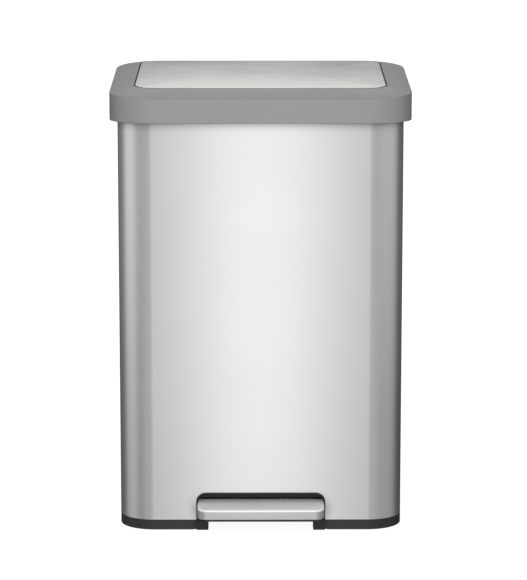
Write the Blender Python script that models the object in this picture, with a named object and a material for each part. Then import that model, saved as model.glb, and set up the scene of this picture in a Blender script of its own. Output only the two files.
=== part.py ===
"""Pedal trash can: a rectangular steel step bin with a hinged lid, a pedal linkage and an inner bucket.

The bin stands on z = 0 with its front towards -Y. The pedal turns a lever under the floor, the lever
lifts a push rod behind the bucket, and the rod lifts a crank on the lid.
"""

import math

import bmesh
import bpy
from mathutils import Matrix, Vector

# Overall sizes
BODY_WIDTH = 0.417
BODY_DEPTH = 0.293
BODY_RADIUS = 0.051
LID_OVERHANG = 0.0115  # how far the lid stands out past the body all round
RIM_Z = 0.6213  # top of the collar that frames the opening

# Fits and walls
GAP = 0.0003
SHELL_WALL = 0.0006
PLASTIC_WALL = 0.0025
CORNER_STEPS = 12

# Fasteners
SCREW_SHANK = 0.0017
SCREW_HOLE = 0.0021
SCREW_HEAD = 0.0038
BOSS_RADIUS = 0.0045

# Base
FOOT_STANDING = 0.0012
FOOT_RADIUS = 0.0105  # where it meets the ground
FOOT_TOP_RADIUS = 0.0115
FOOT_PAD_RADIUS = 0.013  # the post under the floor that each foot is fixed to
FOOT_RECESS = 0.0022  # how far each foot sits up inside the base
FOOT_INSET = 0.040  # from the body's edges to a foot's centre
BAND_Z = 0.016  # top of the visible band
UPSTAND_Z = 0.080
FLOOR_UNDER_Z = 0.062
FLOOR_WALL = 0.0025

# Pedal notch and pedal
NOTCH_WIDTH = 0.1896
NOTCH_TOP_Z = 0.0567
NOTCH_RADIUS = 0.0136
BEZEL_LEG = 0.0012
BEZEL_DEPTH = 0.020
CHEEK_WIDTH = 0.0171
CHEEK_PROUD = 0.0025
APRON_HEM_Z = 0.020  # lower edge of the wall behind the pedal
PEDAL_PROUD = 0.028  # from the body front to the pedal front
PEDAL_CLEARANCE = 0.0008
PEDAL_FRONT_Z = 0.0375
PEDAL_FACE = 0.0139
PEDAL_SLOPE = math.tan(math.radians(9.0))
PEDAL_INSET = 0.015
PEDAL_RADIUS = 0.012
PEDAL_REAR_RADIUS = 0.0025
PEDAL_BEND = 0.0012  # round along the tread's top edge
PEDAL_SCREW_X = 0.022
PEDAL_SCREW_BEHIND_FRONT = 0.030  # from the body front to the pedal's screws
TREAD_SHEET = 0.0012
CORE_SHOWING = 0.0035
CORE_REAR_THICKNESS = 0.006
TONGUE_THICKNESS = 0.004

# Lever under the floor
AXLE_BEHIND_FRONT = 0.0772  # from the body front to the lever axle
AXLE_Z = 0.035
AXLE_RADIUS = 0.004
LEVER_WIDTH = 0.076
LEVER_SHEET = 0.0022
LEVER_DEPTH = 0.009
LEVER_EAR_RADIUS = 0.0085
LEVER_TIP_HALF = 0.016
BRACKET_THICKNESS = 0.006
BRACKET_RADIUS = 0.010
BRACKET_HALF_FOOT = 0.014
BRACKET_FOOT_THICKNESS = 0.004
CLIP_RADIUS = 0.0068

# Lid
SKIRT_BELOW_RIM = 0.0178
EDGE_FRONT_ABOVE_RIM = 0.0172
EDGE_BACK_ABOVE_RIM = 0.0484
PANEL_FRONT_ABOVE_RIM = 0.0287
PANEL_SLOPE = 0.080
PANEL_FRONT_STRIP = 0.0475
PANEL_BACK_STRIP = 0.0095
PANEL_SIDE_STRIP = 0.0350
PANEL_RADIUS = 0.030
PANEL_SHEET = 0.0008
PANEL_GROOVE = 0.0016
PANEL_PROUD = 0.0004
LID_SCREW_INSET = 0.050

# Hinge and linkage
AXIS_IN_FROM_BACK = 0.0105
SEAM_ABOVE_RIM = 0.0152  # top of the fixed rear housing
SEAM_GAP = 0.0012  # from the housing up to the lid's rear edge
BARREL_RADIUS = 0.007
PIN_RADIUS = 0.002
SWING_CLEARANCE = 0.0007  # round the path of the lid's lower edge
LUG_RADIUS = 0.022
LID_OPENING = math.radians(75.0)
ROLLER_RADIUS = 0.004
ROD_RADIUS = 0.0025
ROD_HEAD_RADIUS = 0.0065
ROD_HEAD_LENGTH = 0.018
ROD_SOCKET_FLOOR = 0.006  # plastic left beyond the rod at its head and foot
ROD_FOOT_RADIUS = 0.0075
ROLLER_PIN_RADIUS = 0.0015
CRANK_HALF_WIDTH = 0.0060
CRANK_FORK_HALF = 0.0032
CONTACT_GAP = 0.0006  # play between the rod and what it pushes
FIXED_KNUCKLE_WIDTH = 0.014
KNUCKLE_GAP = 0.0005
HINGE_BAR_TOP = 0.0187  # these three are heights above the hinge axis
HINGE_WEB_TOP = 0.0118
HINGE_SCREW_Z = 0.0150
BARREL_END_GAP = 0.0025  # from the barrel's end to the start of the rear corner

# Opening and bucket
COLLAR_BORDER = 0.0135
COLLAR_FLANGE = 0.0035
COLLAR_DROP = 0.0243
BUCKET_PLAY = 0.0015
BUCKET_WALL = 0.0022
BUCKET_TAPER = 0.012
BUCKET_BELOW_RIM = 0.009
BUCKET_LIP = 0.004
BUCKET_LIP_DEPTH = 0.006

# Places that follow from the sizes
LID_WIDTH = BODY_WIDTH + 2 * LID_OVERHANG
LID_DEPTH = BODY_DEPTH + 2 * LID_OVERHANG
LID_RADIUS = BODY_RADIUS + LID_OVERHANG
BARREL_HALF = LID_WIDTH / 2 - LID_RADIUS - BARREL_END_GAP
FIXED_KNUCKLES = tuple(share * BARREL_HALF for share in (-0.87, -0.29, 0.29, 0.87))
PEDAL_AHEAD_OF_LID = PEDAL_PROUD - LID_OVERHANG
MID_Y = PEDAL_AHEAD_OF_LID / 2
LID_FRONT = MID_Y - LID_DEPTH / 2
LID_BACK = MID_Y + LID_DEPTH / 2
BODY_FRONT = MID_Y - BODY_DEPTH / 2
BODY_BACK = MID_Y + BODY_DEPTH / 2
PEDAL_FRONT = BODY_FRONT - PEDAL_PROUD
COLLAR_UNDER_Z = RIM_Z - COLLAR_FLANGE - 0.001
SHELL_TOP_Z = COLLAR_UNDER_Z - GAP
SKIRT_Z = RIM_Z - SKIRT_BELOW_RIM
AXIS_Y = LID_BACK - AXIS_IN_FROM_BACK
SEAM_Z = RIM_Z + SEAM_ABOVE_RIM
LID_REAR_EDGE_Z = SEAM_Z + SEAM_GAP
SPLIT_Y = LID_BACK - LID_RADIUS  # where the moving skirt ends and the fixed housing starts
EDGE_SLOPE = (EDGE_BACK_ABOVE_RIM - EDGE_FRONT_ABOVE_RIM) / LID_DEPTH
HALF_SWING = LID_OPENING / 2
# The axis is as high as the lid's back wall needs to swing down clear of the housing.
AXIS_Z = SEAM_Z + AXIS_IN_FROM_BACK * math.tan(HALF_SWING) + SWING_CLEARANCE
LUG_Y = AXIS_Y - LUG_RADIUS * math.cos(HALF_SWING)
LUG_Z = AXIS_Z - LUG_RADIUS * math.sin(HALF_SWING)
ROD_Y = AXIS_Y - LUG_RADIUS * (1 + math.cos(HALF_SWING)) / 2
ROD_TRAVEL = 2 * LUG_RADIUS * math.sin(HALF_SWING)
ROD_HEAD_Z = LUG_Z - ROLLER_RADIUS - CONTACT_GAP
AXLE_Y = BODY_FRONT + AXLE_BEHIND_FRONT
LEVER_PAD_Z = AXLE_Z - ROD_TRAVEL / 2 + LEVER_DEPTH / 2
ROD_FOOT_Z = LEVER_PAD_Z + CONTACT_GAP
SHELL_IN = SHELL_WALL + GAP
LINING_IN = SHELL_IN + PLASTIC_WALL
HOLE_BACK = ROD_Y - ROD_HEAD_RADIUS - 0.006  # rear edge of the opening for the bucket
DECK_UNDER_Z = RIM_Z + GAP
DECK_TOP_Z = DECK_UNDER_Z + 0.0034
FLOOR_TOP_Z = FLOOR_UNDER_Z + FLOOR_WALL
LINER_UNDER_Z = RIM_Z + 0.0030
LINER_TOP_Z = LINER_UNDER_Z + 0.0020
LINER_BACK = SPLIT_Y - 0.0015

FINISHES = {  # base colour, roughness, metallic
    "brushed_steel": ((0.62, 0.62, 0.61), 0.32, 1.0),
    "lid_plastic": ((0.30, 0.31, 0.32), 0.42, 0.0),
    "black_plastic": ((0.02, 0.02, 0.022), 0.5, 0.0),
    "bucket_plastic": ((0.10, 0.10, 0.105), 0.55, 0.0),
    "zinc_steel": ((0.55, 0.55, 0.54), 0.38, 1.0),
    "rubber": ((0.03, 0.03, 0.03), 0.85, 0.0),
}


def material(finish):
    """The shared Principled material of a finish."""
    found = bpy.data.materials.get(finish)
    if found:
        return found
    color, roughness, metallic = FINISHES[finish]
    made = bpy.data.materials.new(finish)
    made.use_nodes = True
    shader = made.node_tree.nodes["Principled BSDF"]
    shader.inputs["Base Color"].default_value = (*color, 1.0)
    shader.inputs["Roughness"].default_value = roughness
    shader.inputs["Metallic"].default_value = metallic
    return made


def add_piece(name, shape, finish):
    """Turn a bmesh into a named object with smooth rounds and its own finish."""
    bmesh.ops.recalc_face_normals(shape, faces=shape.faces)
    data = bpy.data.meshes.new(name)
    shape.to_mesh(data)
    shape.free()
    data.materials.append(material(finish))
    data.shade_smooth()
    data.set_sharp_from_angle(angle=math.radians(35.0))
    piece = bpy.data.objects.new(name, data)
    bpy.context.scene.collection.objects.link(piece)
    return piece


def outline(half_width, front, back, radius, back_radius=None):
    """Rounded rectangle in plan, anticlockwise from its front right corner."""
    rear = radius if back_radius is None else back_radius
    corners = (
        (half_width - radius, front + radius, radius, -90.0),
        (half_width - rear, back - rear, rear, 0.0),
        (rear - half_width, back - rear, rear, 90.0),
        (radius - half_width, front + radius, radius, 180.0),
    )
    points = []
    for x, y, size, start in corners:
        for step in range(CORNER_STEPS + 1):
            turn = math.radians(start + 90.0 * step / CORNER_STEPS)
            points.append((x + size * math.cos(turn), y + size * math.sin(turn)))
    return points


def body_outline(inset):
    """The body's outline, moved inwards by inset."""
    return outline(BODY_WIDTH / 2 - inset, BODY_FRONT + inset, BODY_BACK - inset, BODY_RADIUS - inset)


def lid_outline(inset):
    """The lid's outline, moved inwards by inset."""
    return outline(LID_WIDTH / 2 - inset, LID_FRONT + inset, LID_BACK - inset, LID_RADIUS - inset)


def panel_outline(inset):
    """The outline of the sheet let into the lid, moved inwards by inset."""
    return outline(
        LID_WIDTH / 2 - PANEL_SIDE_STRIP - inset,
        LID_FRONT + PANEL_FRONT_STRIP + inset,
        LID_BACK - PANEL_BACK_STRIP - inset,
        PANEL_RADIUS - inset,
    )


def hole_outline(inset):
    """The outline of the opening in the collar, moved inwards by inset."""
    return outline(
        BODY_WIDTH / 2 - COLLAR_BORDER - inset,
        BODY_FRONT + COLLAR_BORDER + inset,
        HOLE_BACK - inset,
        BODY_RADIUS - COLLAR_BORDER - inset,
    )


def at_height(points, height):
    """Lift plan points to a height, which is a number or a function of y."""
    if callable(height):
        return [Vector((x, y, height(y))) for x, y in points]
    return [Vector((x, y, height)) for x, y in points]


def blend_rings(first, last, share, rise):
    """A ring between two rings: share of the way in plan and rise of the way in height."""
    ring = []
    for a, b in zip(first, last):
        ring.append(Vector((a.x + (b.x - a.x) * share, a.y + (b.y - a.y) * share, a.z + (b.z - a.z) * rise)))
    return ring


def loft(name, rings, finish, closed=False):
    """Skin a row of rings into one solid: capped at both ends, or closed back onto its first ring."""
    shape = bmesh.new()
    loops = [[shape.verts.new(point) for point in ring] for ring in rings]
    bands = list(zip(loops, loops[1:]))
    if closed:
        bands.append((loops[-1], loops[0]))
    for lower, upper in bands:
        for index in range(len(lower)):
            after = (index + 1) % len(lower)
            shape.faces.new((lower[index], lower[after], upper[after], upper[index]))
    if not closed:
        shape.faces.new(loops[0])
        shape.faces.new(loops[-1])
    return add_piece(name, shape, finish)


def prism(name, points, axis, start, end, finish):
    """Extrude a flat outline along X, Y or Z; its points hold the other two coordinates in order."""
    places = {
        "X": lambda a, b: (start, a, b),
        "Y": lambda a, b: (a, start, b),
        "Z": lambda a, b: (a, b, start),
    }
    travel = {"X": Vector((1, 0, 0)), "Y": Vector((0, 1, 0)), "Z": Vector((0, 0, 1))}[axis] * (end - start)
    shape = bmesh.new()
    face = shape.faces.new([shape.verts.new(places[axis](a, b)) for a, b in points])
    made = bmesh.ops.extrude_face_region(shape, geom=[face])
    moved = [item for item in made["geom"] if isinstance(item, bmesh.types.BMVert)]
    bmesh.ops.translate(shape, verts=moved, vec=travel)
    return add_piece(name, shape, finish)


def box(name, low, high, finish):
    """A block between two corners."""
    points = [(low[0], low[1]), (high[0], low[1]), (high[0], high[1]), (low[0], high[1])]
    return prism(name, points, "Z", low[2], high[2], finish)


def round_bar(name, start, end, radius, finish, sides=20, end_radius=None):
    """A round bar, or a cone, between two points."""
    start = Vector(start)
    end = Vector(end)
    along = end - start
    turn = along.to_track_quat("Z", "Y").to_matrix().to_4x4()
    shape = bmesh.new()
    bmesh.ops.create_cone(
        shape,
        cap_ends=True,
        segments=sides,
        radius1=radius,
        radius2=radius if end_radius is None else end_radius,
        depth=along.length,
        matrix=Matrix.Translation((start + end) / 2) @ turn,
    )
    return add_piece(name, shape, finish)


def upright(name, place, low, high, radius, finish, sides=12):
    """A round bar, or a cutter for a hole, that stands at an x, y place between two heights."""
    x, y = place
    return round_bar(name, (x, y, low), (x, y, high), radius, finish, sides=sides)


def crosswise(name, half_length, place, radius, finish, sides=20):
    """A round bar, or a cutter for a bore, along X through a y, z place and centred on the bin."""
    y, z = place
    return round_bar(name, (-half_length, y, z), (half_length, y, z), radius, finish, sides=sides)


def arc(center, radius, start, end, steps):
    """Points on an arc from one angle to another, in degrees."""
    points = []
    for step in range(steps + 1):
        turn = math.radians(start + (end - start) * step / steps)
        points.append((center[0] + radius * math.cos(turn), center[1] + radius * math.sin(turn)))
    return points


def shape_with(piece, other, operation):
    """Cut another solid from a piece, or join it on, and keep the other out of the model."""
    other.hide_render = True
    other.display_type = "WIRE"
    modifier = piece.modifiers.new(other.name, "BOOLEAN")
    modifier.operation = operation
    modifier.solver = "EXACT"
    modifier.object = other


def cut(piece, *cutters):
    for cutter in cutters:
        shape_with(piece, cutter, "DIFFERENCE")


def join(piece, *others):
    for other in others:
        shape_with(piece, other, "UNION")


def edge_z(y):
    """Height of the lid's outer edge."""
    return RIM_Z + EDGE_FRONT_ABOVE_RIM + EDGE_SLOPE * (y - LID_FRONT)


def panel_z(y):
    """Height of the lid's top plane round the steel sheet."""
    return RIM_Z + PANEL_FRONT_ABOVE_RIM + PANEL_SLOPE * (y - LID_FRONT - PANEL_FRONT_STRIP)


def tread_z(y):
    """Height of the pedal's top."""
    return PEDAL_FRONT_Z + PEDAL_SLOPE * (y - PEDAL_FRONT)


def shifted(height, amount):
    """A height function moved up or down."""
    return lambda y: height(y) + amount


def notch_points(half_width, top, radius, bottom):
    """Front view of the pedal notch: open below, with rounded top corners."""
    points = [(half_width, bottom)]
    points += arc((half_width - radius, top - radius), radius, 0.0, 90.0, 8)
    points += arc((radius - half_width, top - radius), radius, 90.0, 180.0, 8)
    points.append((-half_width, bottom))
    return points


def notch_cutter(name):
    """The space of the pedal notch through the front wall."""
    points = notch_points(NOTCH_WIDTH / 2, NOTCH_TOP_Z, NOTCH_RADIUS, -0.01)
    return prism(name, points, "Y", BODY_FRONT - 0.02, BODY_FRONT + BEZEL_DEPTH + GAP, "black_plastic")


def make_shell():
    rings = [
        at_height(body_outline(0.0), BAND_Z + GAP),
        at_height(body_outline(0.0), SHELL_TOP_Z),
        at_height(body_outline(SHELL_WALL), SHELL_TOP_Z),
        at_height(body_outline(SHELL_WALL), BAND_Z + GAP),
    ]
    shell = loft("body_shell", rings, "brushed_steel", closed=True)
    cut(shell, notch_cutter("shell_notch"))
    return shell


def rod_window(name, half_width, reach, low, high):
    """A square-cornered hole round the push rod."""
    return box(name, (-half_width, ROD_Y - reach, low), (half_width, ROD_Y + reach, high), "black_plastic")


def make_base():
    rings = [
        at_height(body_outline(LINING_IN), FLOOR_UNDER_Z),
        at_height(body_outline(LINING_IN), FOOT_STANDING),
        at_height(body_outline(0.0), FOOT_STANDING),
        at_height(body_outline(0.0), BAND_Z),
        at_height(body_outline(SHELL_IN), BAND_Z),
        at_height(body_outline(SHELL_IN), UPSTAND_Z),
        at_height(body_outline(LINING_IN), UPSTAND_Z),
        at_height(body_outline(LINING_IN), FLOOR_TOP_Z),
    ]
    base = loft("base_tray", rings, "black_plastic")
    cut(base, notch_cutter("base_notch"))
    cut(base, rod_window("base_rod_window", 0.011, 0.011, FLOOR_UNDER_Z - 0.01, FLOOR_TOP_Z + 0.01))
    for name, x, y in foot_places():
        low = FOOT_STANDING + FOOT_RECESS
        high = FLOOR_UNDER_Z + 0.001
        join(base, upright(name + "_pad", (x, y), low, high, FOOT_PAD_RADIUS, "black_plastic", sides=20))
    return base


def foot_places():
    """Name and centre of each foot under the base."""
    across = BODY_WIDTH / 2 - FOOT_INSET
    along = BODY_DEPTH / 2 - FOOT_INSET
    return (
        ("foot_front_left", -across, MID_Y - along),
        ("foot_front_right", across, MID_Y - along),
        ("foot_rear_left", -across, MID_Y + along),
        ("foot_rear_right", across, MID_Y + along),
    )


def make_feet():
    top = FOOT_STANDING + FOOT_RECESS - GAP
    for name, x, y in foot_places():
        start = (x, y, 0.0)
        end = (x, y, top)
        round_bar(name, start, end, FOOT_RADIUS, "rubber", sides=24, end_radius=FOOT_TOP_RADIUS)


def make_bezel():
    half = NOTCH_WIDTH / 2 - GAP
    top = NOTCH_TOP_Z - GAP
    inner = half - BEZEL_LEG
    radius = NOTCH_RADIUS - GAP
    arch = notch_points(half, top, radius, FOOT_STANDING)
    opening = list(reversed(notch_points(inner, top - 0.002, radius - 0.002, BAND_Z)))
    opening = [(CHEEK_WIDTH - half, FOOT_STANDING), (CHEEK_WIDTH - half, BAND_Z)] + opening
    opening += [(half - CHEEK_WIDTH, BAND_Z), (half - CHEEK_WIDTH, FOOT_STANDING)]
    bezel = prism(
        "pedal_bezel",
        arch + opening,
        "Y",
        BODY_FRONT - 0.0006,
        BODY_FRONT + BEZEL_DEPTH,
        "black_plastic",
    )
    for side in (-1, 1):
        near = side * (half - CHEEK_WIDTH)
        far = side * half
        low = (min(near, far), BODY_FRONT - CHEEK_PROUD, FOOT_STANDING)
        high = (max(near, far), BODY_FRONT + 0.002, BAND_Z)
        join(bezel, box("cheek_front_" + ("left" if side < 0 else "right"), low, high, "black_plastic"))
    join(bezel, make_apron(half - BEZEL_LEG / 2, top - BEZEL_LEG))
    return bezel


def make_apron(half, top):
    """The wall behind the pedal that closes the notch, with a window for the lever."""
    back = BODY_FRONT + BEZEL_DEPTH
    window_half = LEVER_WIDTH / 2 + 0.003
    window_top = tread_z(back) - CORE_REAR_THICKNESS + TONGUE_THICKNESS + 0.0012
    points = [
        (window_half, APRON_HEM_Z),
        (half, APRON_HEM_Z),
    ]
    points += arc((half - NOTCH_RADIUS, top - NOTCH_RADIUS), NOTCH_RADIUS, 0.0, 90.0, 8)
    points += arc((NOTCH_RADIUS - half, top - NOTCH_RADIUS), NOTCH_RADIUS, 90.0, 180.0, 8)
    points += [
        (-half, APRON_HEM_Z),
        (-window_half, APRON_HEM_Z),
        (-window_half, window_top),
        (window_half, window_top),
    ]
    return prism("bezel_apron", points, "Y", back - BEZEL_LEG, back, "black_plastic")


def pedal_outline(inset, back):
    half = NOTCH_WIDTH / 2 - GAP - BEZEL_LEG - PEDAL_CLEARANCE
    return outline(half - inset, PEDAL_FRONT + inset, back, PEDAL_RADIUS - inset, PEDAL_REAR_RADIUS)


def pedal_hem(front_z, rear_depth):
    """Lower edge of the pedal's sides: low at the front, and rear_depth under the tread at the back."""
    start = PEDAL_FRONT + PEDAL_RADIUS
    end = BODY_FRONT + PEDAL_INSET - PEDAL_REAR_RADIUS - TREAD_SHEET - GAP

    def height(y):
        share = min(max((y - start) / (end - start), 0.0), 1.0)
        return front_z + (tread_z(y) - rear_depth - front_z) * share

    return height


def make_pedal():
    back = BODY_FRONT + PEDAL_INSET
    bend = PEDAL_BEND
    hem = pedal_hem(PEDAL_FRONT_Z - PEDAL_FACE, TREAD_SHEET + 0.0004)
    rings = [
        at_height(pedal_outline(TREAD_SHEET, back - TREAD_SHEET), shifted(tread_z, -TREAD_SHEET)),
        at_height(pedal_outline(TREAD_SHEET, back - TREAD_SHEET), hem),
        at_height(pedal_outline(0.0, back), hem),
        at_height(pedal_outline(0.0, back), shifted(tread_z, -bend)),
        at_height(pedal_outline(bend * 0.3, back - bend * 0.3), shifted(tread_z, -bend * 0.3)),
        at_height(pedal_outline(bend, back - bend), tread_z),
    ]
    tread = loft("pedal_tread", rings, "brushed_steel")
    inside = TREAD_SHEET + GAP
    core_hem = pedal_hem(PEDAL_FRONT_Z - PEDAL_FACE - CORE_SHOWING, CORE_REAR_THICKNESS + GAP)
    core_rings = [
        at_height(pedal_outline(inside, back - inside), core_hem),
        at_height(pedal_outline(inside, back - inside), shifted(tread_z, -inside)),
    ]
    core = loft("pedal_core", core_rings, "black_plastic")
    tongue_start = BODY_FRONT + 0.006
    tongue_end = BODY_FRONT + 0.040
    under = -CORE_REAR_THICKNESS - GAP
    tongue = [
        (tongue_start, tread_z(tongue_start) + under),
        (tongue_end, tread_z(tongue_end) + under),
        (tongue_end, tread_z(tongue_end) + under + TONGUE_THICKNESS),
        (tongue_start, tread_z(tongue_start) + under + TONGUE_THICKNESS),
    ]
    join(core, prism("pedal_core_tongue", tongue, "X", -LEVER_WIDTH / 2, LEVER_WIDTH / 2, "black_plastic"))
    screws = []
    for name, x in (("pedal_screw_left", -PEDAL_SCREW_X), ("pedal_screw_right", PEDAL_SCREW_X)):
        y = BODY_FRONT + PEDAL_SCREW_BEHIND_FRONT
        z = tread_z(y) + under
        cut(core, upright(name + "_core_hole", (x, y), z - 0.02, z + 0.02, SCREW_HOLE, "black_plastic"))
        head = (x, y, z + TONGUE_THICKNESS + 0.0010)
        screws.append(make_screw(name, head, (0, 0, -1), 0.0105, head_radius=0.0040))
    return tread, core, screws


def make_screw(name, head, direction, length, head_radius=SCREW_HEAD, shank_radius=SCREW_SHANK):
    """A pan-head screw: its head's underside centre is at head, and its shank runs along direction."""
    along = Vector(direction)
    start = Vector(head)
    height = head_radius * 0.55
    crown = start - along * height
    screw = round_bar(name, crown, start, head_radius * 0.75, "zinc_steel", sides=16, end_radius=head_radius)
    inside = start - along * height * 0.5
    tip = start + along * length
    join(screw, round_bar(name + "_shank", inside, tip, shank_radius, "zinc_steel", sides=12))
    return screw


def make_lever():
    pad_back = ROD_Y + 0.010
    front = BODY_FRONT + 0.018
    bend = BODY_FRONT + 0.044
    seat = -CORE_REAR_THICKNESS - 2 * GAP
    top = [
        (front, tread_z(front) + seat),
        (bend, tread_z(bend) + seat),
        (AXLE_Y + 0.006, AXLE_Z + LEVER_EAR_RADIUS),
        (ROD_Y - 0.030, LEVER_PAD_Z),
        (pad_back, LEVER_PAD_Z),
    ]
    ear = [(AXLE_Y + 0.014, AXLE_Z - 0.001)]
    ear += arc((AXLE_Y, AXLE_Z), LEVER_EAR_RADIUS, -20.0, -160.0, 8)
    ear += [(AXLE_Y - 0.014, AXLE_Z - 0.0005)]
    bottom = [(y, z - LEVER_DEPTH) for y, z in reversed(top[3:])]
    bottom += ear
    bottom += [(y, z - LEVER_DEPTH) for y, z in reversed(top[:1])]
    lever = prism("pedal_lever", top + bottom, "X", -LEVER_WIDTH / 2, LEVER_WIDTH / 2, "zinc_steel")
    hollow = [(y, z - LEVER_SHEET) for y, z in top]
    hollow[0] = (front - 0.01, hollow[0][1] - 0.01 * PEDAL_SLOPE)
    hollow[-1] = (pad_back + 0.01, hollow[-1][1])
    hollow += [(pad_back + 0.01, -0.01), (front - 0.01, -0.01)]
    half = LEVER_WIDTH / 2 - LEVER_SHEET
    cut(lever, prism("lever_hollow", hollow, "X", -half, half, "zinc_steel"))
    reach = LEVER_WIDTH / 2 + 0.01
    cut(lever, crosswise("lever_bore", reach, (AXLE_Y, AXLE_Z), AXLE_RADIUS + GAP, "zinc_steel"))
    for side, x in (("left", -PEDAL_SCREW_X), ("right", PEDAL_SCREW_X)):
        place = (x, BODY_FRONT + PEDAL_SCREW_BEHIND_FRONT)
        cut(lever, upright("lever_screw_hole_" + side, place, 0.02, 0.07, SCREW_HOLE, "zinc_steel"))
    for side in (-1, 1):
        waist = [
            (side * (LEVER_WIDTH / 2 + 0.01), AXLE_Y + 0.030),
            (side * (LEVER_WIDTH / 2 + 0.01), pad_back + 0.01),
            (side * LEVER_TIP_HALF, pad_back + 0.01),
            (side * LEVER_TIP_HALF, ROD_Y - 0.040),
        ]
        name = "lever_waist_" + ("left" if side < 0 else "right")
        cut(lever, prism(name, waist, "Z", -0.01, 0.08, "zinc_steel"))
    return lever


def make_axle():
    """The lever's axle, the two brackets that hold it under the floor, and their clips and screws."""
    inner = LEVER_WIDTH / 2 + 0.002
    outer = inner + BRACKET_THICKNESS
    crosswise("lever_axle", outer + 0.005, (AXLE_Y, AXLE_Z), AXLE_RADIUS, "zinc_steel", sides=24)
    top = FLOOR_UNDER_Z - GAP
    under = top - BRACKET_FOOT_THICKNESS
    front = AXLE_Y - BRACKET_HALF_FOOT
    back = AXLE_Y + BRACKET_HALF_FOOT
    ear = arc((AXLE_Y, AXLE_Z), BRACKET_RADIUS, 180.0, 360.0, 10) + [(back, top), (front, top)]
    for side, name in ((-1, "left"), (1, "right")):
        near, far = sorted((side * inner, side * outer))
        bracket = prism("axle_bracket_" + name, ear, "X", near, far, "black_plastic")
        near, far = sorted((side * (outer - 0.001), side * (outer + BRACKET_HALF_FOOT)))
        join(bracket, box("bracket_foot_" + name, (near, front, under), (far, back, top), "black_plastic"))
        near, far = sorted((side * (inner - 0.01), side * (outer + 0.01)))
        start = (near, AXLE_Y, AXLE_Z)
        end = (far, AXLE_Y, AXLE_Z)
        cut(bracket, round_bar("bracket_bore_" + name, start, end, AXLE_RADIUS + GAP, "black_plastic"))
        place = (side * (outer + 0.008), AXLE_Y)
        low = top - 0.02
        high = top + 0.02
        cut(bracket, upright("bracket_hole_" + name, place, low, high, SCREW_HOLE, "black_plastic"))
        make_screw("bracket_screw_" + name, (*place, under - GAP), (0, 0, 1), 0.0040)
        make_clip(name, side, outer)


def make_clip(name, side, outer):
    """The push-on clip that holds one end of the axle outside its bracket."""
    start = (side * (outer + 0.0015), AXLE_Y, AXLE_Z)
    end = (side * (outer + 0.0033), AXLE_Y, AXLE_Z)
    clip = round_bar("axle_clip_" + name, start, end, CLIP_RADIUS, "zinc_steel", sides=20)
    start = (side * outer, AXLE_Y, AXLE_Z)
    end = (side * (outer + 0.01), AXLE_Y, AXLE_Z)
    cut(clip, round_bar("clip_hole_" + name, start, end, AXLE_RADIUS + GAP, "zinc_steel", sides=24))


def make_collar():
    flange_under = RIM_Z - COLLAR_FLANGE
    rings = [
        at_height(body_outline(0.0), COLLAR_UNDER_Z),
        at_height(body_outline(0.0), RIM_Z - 0.0008),
        at_height(body_outline(0.0008), RIM_Z),
        at_height(hole_outline(0.0), RIM_Z),
        at_height(hole_outline(0.0), flange_under),
        at_height(body_outline(LINING_IN), flange_under),
        at_height(body_outline(LINING_IN), RIM_Z - COLLAR_DROP),
        at_height(body_outline(SHELL_IN), RIM_Z - COLLAR_DROP),
        at_height(body_outline(SHELL_IN), COLLAR_UNDER_Z),
    ]
    collar = loft("collar_ring", rings, "black_plastic", closed=True)
    cut(collar, rod_window("collar_rod_window", 0.009, 0.009, RIM_Z - 0.02, RIM_Z + 0.02))
    for name, x, y in housing_screw_places():
        low = RIM_Z - 0.01
        high = RIM_Z + 0.01
        cut(collar, upright(name + "_collar_hole", (x, y), low, high, SCREW_HOLE, "black_plastic"))
    return collar


def housing_screw_places():
    y = (HOLE_BACK + BODY_BACK) / 2 - 0.002
    return (
        ("housing_screw_left", -0.100, y),
        ("housing_screw_mid_left", -0.060, y),
        ("housing_screw_mid_right", 0.060, y),
        ("housing_screw_right", 0.100, y),
    )


def pin_bore(name):
    """The bore for the hinge pin, through every knuckle."""
    return crosswise(name, BARREL_HALF + 0.01, (AXIS_Y, AXIS_Z), PIN_RADIUS + GAP, "lid_plastic", sides=32)


def swing_path(name):
    """The space that the lid's rear lower edge sweeps about the hinge axis, round both corners."""
    corner_x = LID_WIDTH / 2 - LID_RADIUS
    end = math.acos(1.0 - AXIS_IN_FROM_BACK / LID_RADIUS)
    stations = []
    for step in range(9):
        turn = end * step / 8
        behind = LID_RADIUS * math.cos(turn) - LID_RADIUS + AXIS_IN_FROM_BACK
        reach = math.hypot(behind, AXIS_Z - LID_REAR_EDGE_Z)
        stations.append((corner_x + LID_RADIUS * math.sin(turn), reach + SWING_CLEARANCE))
    mirrored = [(-x, radius) for x, radius in reversed(stations)]
    rings = []
    for x, radius in mirrored + stations:
        rings.append([Vector((x, y, z)) for y, z in arc((AXIS_Y, AXIS_Z), radius, 0.0, 352.5, 47)])
    return loft(name, rings, "lid_plastic")


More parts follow.
